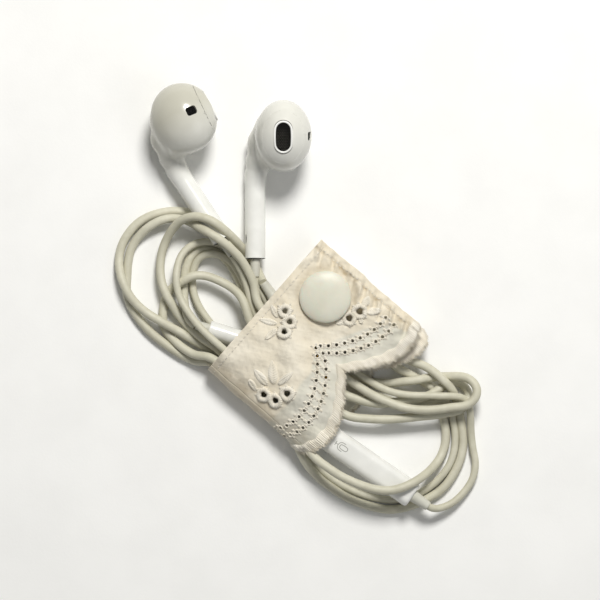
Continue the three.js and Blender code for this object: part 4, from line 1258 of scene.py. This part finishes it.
def add_bead(batch, cloth, s, t, size, seed):
    """A small raised knot of thread."""
    point, along, across, out = cloth.frames(s, t)
    rows, columns = 6, 10
    points, thread = [], []
    for i in range(rows):
        lift = math.pi / 2 * i / (rows - 1)
        for j in range(columns):
            angle = 2 * math.pi * j / columns + seed
            reach = size * math.cos(lift) * (1 + 0.12 * math.sin(3 * angle))
            spot = along * math.cos(angle) * reach + across * math.sin(angle) * reach * 0.85
            points.append(point + spot + out * (0.62 * size * math.sin(lift) - 0.04))
            thread.append(0.4 * angle)
    batch.add(points, grid_faces(rows, columns, close_columns=True), thread)


def add_border(batch, cloth, t_start, t_end):
    """The thick buttonhole-stitched edge along the scallops."""
    t = np.arange(t_start, t_end + 0.05, 0.1)
    outer = cloth.edge(t)
    walked = np.cumsum(np.hypot(np.gradient(outer), 0.1))
    rng = np.random.default_rng(11)
    marks = np.arange(-1, 120, 0.23)
    rough = np.interp(t, marks, rng.normal(0, 0.15, len(marks)))
    shares = np.array([0.0, 0.1, 0.3, 0.55, 0.8, 0.95, 1.0, 0.97, 0.8, 0.4, 0.0])
    heights = np.array([0.0, 0.24, 0.34, 0.3, 0.3, 0.2, 0.0, -0.14, -0.2, -0.2, -0.1])
    ridge = 1.15 + 0.2 * np.sin(2 * np.pi * walked / 0.52)
    inner = outer - BORDER_WIDTH + 0.14 * np.sin(t * 1.73)
    columns = []
    for share, height in zip(shares, heights):
        s = inner + (BORDER_WIDTH + 0.12 + rough * (share > 0.7)) * share
        point, _, _, out = cloth.frames(s, t)
        columns.append(point + out * (height * ridge + 0.02)[:, None])
    points = np.stack(columns, 1).reshape(-1, 3)
    faces = [face[::-1] for face in grid_faces(len(t), len(shares))]
    batch.add(points, faces, np.repeat(walked, len(shares)))
    add_fuzz(batch, cloth, t_start, t_end, rng)


def add_fuzz(batch, cloth, t_start, t_end, rng):
    """Short loose fibres along the stitched edge."""
    for t in np.arange(t_start + 0.2, t_end - 0.2, 0.06):
        start = cloth.edge(t) - rng.uniform(0, 0.5)
        lean = rng.normal(0, 0.25)
        reach = rng.uniform(0.4, 1.1)
        bend = rng.normal(0, 0.25)
        s = start + np.array((0.0, 0.5, 1.0)) * reach
        across = t + np.array((0.0, 0.5, 1.0)) * lean + np.array((0.0, 0.5, 0.0)) * bend
        point, _, along, out = cloth.frames(s, across)
        lift = rng.uniform(0.05, 0.35) + rng.uniform(-0.3, 0.3) * np.array((0.0, 0.6, 1.0))
        points = tube(point + out * lift[:, None], along, out, (0.1, 0.085, 0.045), 3)
        batch.add(points, grid_faces(3, 3, close_columns=True), [0.3] * 9)


def add_stitches(batch, cloth, start, end, pitch, size):
    """A row of small hem stitches from one (s, t) to another."""
    start, end = np.array(start), np.array(end)
    length = math.hypot(*(end - start))
    lead = (end - start) / length
    half = 0.36 * pitch
    for k in range(int(length / pitch)):
        middle = start + lead * (k + 0.5) * pitch
        add_petal(batch, cloth, *(middle + lead * half), *(middle - lead * half), size, 0.16)


def cloth_sheet(cloth, name, t_start, t_end, holes, matrix):
    """The cloth between two lines across it, with its eyelets open."""
    cell = 0.3
    t = np.linspace(t_start, t_end, int((t_end - t_start) / cell) + 1)
    columns = int(33 / cell)
    share = np.linspace(0, 1, columns + 1)
    grid_t = np.repeat(t[:, None], columns + 1, 1)
    grid_s = share[None, :] * (cloth.edge(t)[:, None] - 0.4)
    flat = np.stack([grid_s.ravel(), grid_t.ravel(), np.zeros(grid_s.size)], 1)
    quads = np.array(grid_faces(len(t), columns + 1))
    triangles = np.vstack([quads[:, [0, 1, 2]], quads[:, [0, 2, 3]]])[:, ::-1]
    if holes:
        spots = np.array(holes)

        def hole_edge(cloud):
            away = np.hypot(cloud[:, None, 0] - spots[None, :, 0], cloud[:, None, 1] - spots[None, :, 1])
            return (away - spots[None, :, 2]).min(1)

        flat, triangles = opened(flat, triangles, hole_edge, lambda cloud: cloud)
    s, t = flat[:, 0], flat[:, 1]
    obj = mesh_piece(name, cloth.place(s, t), triangles, matrix)
    sheer = np.clip((s - np.interp(t, *np.array(SHEER_EDGE).T)) / 0.8, 0, 1)
    # The painted shade of creases and folds goes to the material as an attribute.
    for label, values in (("lace_s", s), ("lace_t", t), ("sheer", sheer), ("painted_fold_shade", cloth.painted_fold_shade(s, t))):
        set_attribute(obj, label, values)
    thick = obj.modifiers.new("thickness", "SOLIDIFY")
    thick.thickness = CLOTH_THICKNESS * MM
    thick.offset = -1
    return obj


def make_lace(cloth, name, t_start, t_end, lace, thread):
    """One stretch of the wrap: its cloth, its stitched edge and its embroidery."""
    matrix = placed(WRAP)

    def within(t):
        return t_start <= t < t_end

    rows = [eyelet for eyelet in eyelet_rows(cloth) if within(eyelet[1])]
    petals = [petal for petal in PETALS if within(petal[1]) and within(petal[3])]
    large = [eyelet for eyelet in FLOWER_EYELETS if within(eyelet[1])]
    sheet = cloth_sheet(cloth, f"wrap_{name}_cloth", t_start, t_end, rows + large, matrix)
    sheet.data.materials.append(lace)

    work = Batch()
    for k, (s, t, radius) in enumerate(large):
        add_ring(work, cloth, s, t, radius, 0.62, 0.58, k)
        for turn in np.arange(0, 6.2, 0.78):
            reach = radius + 1.05 + 0.12 * math.sin(3 * turn + k)
            add_bead(work, cloth, s + reach * math.cos(turn), t + reach * math.sin(turn), 0.46, turn)
    for k, (s, t, radius) in enumerate(rows):
        add_ring(work, cloth, s, t, radius, 0.17, 0.2, k)
    for k, (a, b) in enumerate(zip(rows, rows[1:])):
        if math.hypot(a[0] - b[0], a[1] - b[1]) < 2.6:
            add_bead(work, cloth, (a[0] + b[0]) / 2 + 0.1, (a[1] + b[1]) / 2, 0.5, k)
        add_bead(work, cloth, a[0] - 0.95, a[1] + 0.35, 0.44, k + 1)
        add_bead(work, cloth, a[0] + 0.9, a[1] - 0.2, 0.36, k + 3)
    for petal in petals:
        add_petal(work, cloth, *petal)
    if t_start == 0:
        add_stitches(work, cloth, (1.0, 1.75), (29.0, 1.9), 1.0, 0.34)
    add_stitches(work, cloth, (1.6, t_start + 0.5), (1.6, t_end - 0.3), 1.1, 0.3)
    embroidery = work.piece(f"wrap_{name}_embroidery", matrix)
    edge = Batch()
    add_border(edge, cloth, max(t_start, 0.4), t_end)
    border = edge.piece(f"wrap_{name}_border", matrix)
    for obj in (embroidery, border):
        obj.data.materials.append(thread)
    return sheet, embroidery, border


def make_wrap(lace, thread):
    """The wrap in two stretches: the flap, up to the fold, and the band, which stays on the hank."""
    cloth = Cloth()
    matrix = placed(WRAP)
    ahead = moved([(0, -39.4, 8), (0, -32.6, 8)], matrix) * MM
    flap = make_lace(cloth, "flap", 0.0, FOLD_LENGTH, lace, thread)
    band = make_lace(cloth, "band", FOLD_LENGTH, cloth.total, lace, thread)
    for obj in flap:
        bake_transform(obj)
    for obj in band:
        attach(obj, "hank")
    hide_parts("wrap_flap")
    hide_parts("wrap_band")
    for (sheet, *trim), length in ((flap, FOLD_LENGTH), (band, cloth.total - FOLD_LENGTH)):
        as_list(trim)


def read_attribute(tree, name):
    return add_node(tree, "Attribute", attribute_name=name).outputs["Fac"]


def sine(tree, way, pitch):
    """A wave along a way, in millimetres, that repeats after each pitch."""
    phase = add_node(tree, "Math", {0: way, 1: 2 * math.pi / pitch}, operation="MULTIPLY").outputs[0]
    return add_node(tree, "Math", {0: phase}, operation="SINE").outputs[0]


def product(tree, first, second):
    return add_node(tree, "Math", {0: first, 1: second}, operation="MULTIPLY").outputs[0]


def lace_material():
    """Cream cotton lawn: a plain weave, slubs, painted shade in its creases, and a thinner zone by the scallops
    painted greyer for the shaded cords seen through it.
    """
    material, tree, shader = new_material("lace_cotton", 0.85, Specular_IOR_Level=0.2, Sheen_Weight=0.25)
    s, t, sheer, painted_fold_shade = (read_attribute(tree, name) for name in ("lace_s", "lace_t", "sheer", "painted_fold_shade"))
    place = object_place(tree)
    base = ramp(tree, noise(tree, place, 130, 5), "e9dfc9", "f6efde", 0.3, 0.7)
    # Painted shade: the thin zone is greyer, for the shadowed cords that show through it.
    thin = ramp(tree, noise(tree, place, 200, 4), "dcdacb", "e9e6da", 0.3, 0.7)
    # Painted shade in the creases, round the snap and at the fold, broken up by noise.
    fold_shaded = product(tree, painted_fold_shade, spread(tree, noise(tree, place, 380, 5), 0.15, 1.0))
    cloth = mixed(tree, fold_shaded, mixed(tree, sheer, base, thin), colour("b3a283"))
    weave = product(tree, sine(tree, s, 0.42), sine(tree, t, 0.42))
    shade = add_node(tree, "MapRange", {0: weave, 1: -1.0, 2: 1.0, 3: 0.0, 4: 0.14}).outputs[0]
    fine = bump(tree, weave, 0.05, 0.7)
    slubs = bump(tree, noise(tree, place, 1300, 4), 0.12, 0.7, fine)
    rumple = bump(tree, noise(tree, place, 300, 4), 0.5, 0.7, slubs)
    wire(tree, shader, Base_Color=mixed(tree, shade, cloth, colour("a89a80")), Normal=rumple)
    return material


def thread_material():
    """Embroidery cotton: fine ridges across each stitched shape, with a soft lustre."""
    material, tree, shader = new_material("lace_thread", 0.7, Specular_IOR_Level=0.3, Sheen_Weight=0.3)
    place = object_place(tree)
    ridge = sine(tree, read_attribute(tree, "thread"), 0.4)
    base = ramp(tree, noise(tree, place, 260, 5), "ece4d1", "f9f4e7", 0.3, 0.7)
    shade = add_node(tree, "MapRange", {0: ridge, 1: -1.0, 2: 0.4, 3: 0.22, 4: 0.0}).outputs[0]
    fine = bump(tree, ridge, 0.05, 0.8)
    fuzz = bump(tree, noise(tree, place, 2200, 4), 0.1, 0.8, fine)
    wire(tree, shader, Base_Color=mixed(tree, shade, base, colour("b5a88e")), Normal=fuzz)
    return material


def make_snap(resin):
    """The snap: cap and socket on the flap, stud and inner cap on the band's tab."""
    matrix = placed(WRAP) @ shifted(SNAP["x"], SNAP["y"], 0) @ turned(-90, "Y")
    radius = SNAP["cap_radius"]
    base = 10.5
    dome = [(radius * math.sin(a), base + 0.45 + 1.35 * math.cos(a)) for a in np.linspace(math.pi / 2, 0, 14)]
    outer = [(0, base), (radius - 0.25, base), (radius - 0.02, base + 0.2)] + dome[:-1] + [(0, base + 1.8)]
    shaft = [(0, 8.8), (0.75, 8.8), (0.75, 10.7), (0, 10.7)]
    socket = [(1.05, 8.75), (1.05, 9.45), (4.6, 9.45), (4.6, 8.7), (3.4, 8.2), (2.5, 8.2), (2.5, 8.75)]
    socket.append(socket[0])
    stud = [(1.05, 7.2), (4.4, 7.2), (4.4, 7.6), (2.2, 7.6), (2.0, 8.45), (1.05, 8.45)]
    inner = [(0, 4.85), (radius * 0.6, 5.05), (radius - 0.2, 5.75), (radius - 0.3, 6.05), (0, 6.05)]
    pin = [(0, 6.0), (0.75, 6.0), (0.75, 8.05), (0, 8.05)]
    pieces = (
        ("snap_dome", outer, "flap", ("snap_cap_outer",), 0.12),
        ("snap_dome_pin", shaft, "flap", (), 0.1),
        ("snap_socket_ring", socket, "flap", ("snap_socket",), 0.12),
        ("snap_stud_ring", stud, "hank", ("snap_stud",), 0.12),
        ("snap_inner_dome", inner, "hank", ("snap_cap_inner",), 0.15),
        ("snap_inner_pin", pin, "hank", (), 0.1),
    )
    for name, profile, body, nodes, soften in pieces:
        piece = turned_piece(name, profile, matrix, 72, soften)
        finish_piece(piece, resin, "snap_resin", body, nodes)


def shell_plastic():
    """Glossy white plastic, with painted shade greying it towards each bud's head."""
    gloss = {"Specular_IOR_Level": 0.35, "Coat_Weight": 0.2, "Coat_Roughness": 0.08}
    shell = moulded("white_shell", "e5e5e0", "efefea", 0.22, 0.006, **gloss)
    tree = shell.node_tree
    base = tree.nodes["Principled BSDF"].inputs["Base Color"]
    painted_head_shade = read_attribute(tree, "painted_head_shade")
    # Painted shade: the base colour is mixed towards a warm grey on the heads.
    tree.links.new(mixed(tree, painted_head_shade, base.links[0].from_socket, colour("b3b09f")), base)
    return shell


def add_painted_head_shade(obj, place, strength):
    """Painted shade on a shell: how far each point lies from the stem towards the head's crown."""
    stem_top, crown = 17, 30
    along = moved(mesh_points(obj) / MM, placed(place).inverted())[:, 1]
    set_attribute(obj, "painted_head_shade", strength * np.clip((along - stem_top) / (crown - stem_top), 0, 1))


def dress_inner_parts():
    """Finishes for the CAD parts that are shown as they are: the drivers and the remote's board."""
    black = moulded("driver_black", "141413", "23221f", 0.5, 0.02)
    steel = moulded("driver_steel", "9b9b98", "b4b4b0", 0.35, 0.02, Metallic=1.0)
    film = moulded("driver_film", "8f8b80", "a8a498", 0.3, 0.02)
    board = moulded("board_green", "1c4a31", "27603f", 0.45, 0.02)
    bright = moulded("switch_steel", "b9b9b5", "d0d0cc", 0.28, 0.02, Metallic=1.0)
    finishes = {"remote_circuit_board": board, "remote_microphone": bright}
    for number in (1, 2, 3):
        finishes[f"remote_dome_switch_{number}"] = bright
    for bud in ("left_bud", "right_bud"):
        for part, material in (("basket", black), ("magnet", steel), ("diaphragm", film)):
            finishes[f"{bud}_driver_{part}"] = material
    for node, material in finishes.items():
        for material_slot in bpy.data.objects[node].material_slots:
            material_slot.material = material


def make_hard_parts():
    """Everything moulded or turned but the snap; returns the names of the plug's pieces."""
    shell = shell_plastic()
    rim = moulded("grille_rim", "ecece8", "f4f4f0", 0.25, 0.006)
    mesh = moulded("grille_mesh", "030303", "080807", 0.6, 0.01, Specular_IOR_Level=0.12)
    boot = moulded("boot_rubber", "c4c3b6", "d0cfc3", 0.55, 0.03)
    ink = moulded("sign_ink", "8c8c86", "9a9a93", 0.6, 0.01)
    gold = moulded("jack_gold", "c79a4e", "dcb46a", 0.24, 0.006, Metallic=1.0)
    black = moulded("insulator_black", "0b0b0a", "1b1b18", 0.45, 0.01)
    make_bud("right_bud", 1, RIGHT_BUD, shell, rim, mesh, boot)
    make_bud("left_bud", -1, LEFT_BUD, shell, rim, mesh, boot)
    make_remote(shell, rim, boot, ink)
    make_splitter(shell, boot)
    # Painted shade on the buds' heads, stronger on the left one.
    for name, place, strength in (("right_bud", RIGHT_BUD, 0.35), ("left_bud", LEFT_BUD, 0.8)):
        for half in ("front", "rear"):
            add_painted_head_shade(bpy.data.objects[f"{name}_{half}"], place, strength)
    return make_plug(shell, boot, gold, black)


make_camera()
make_studio()
make_cords(make_hard_parts())
dress_inner_parts()
make_wrap(lace_material(), thread_material())
make_snap(moulded("snap_resin", "d5d3c2", "dedccc", 0.42, 0.012, Subsurface_Weight=0.15, Subsurface_Scale=0.002))

boxes = {"cad": CAD_BOX, "visual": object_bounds()}
{key: [list(corner) for corner in value] for key, value in boxes.items()}
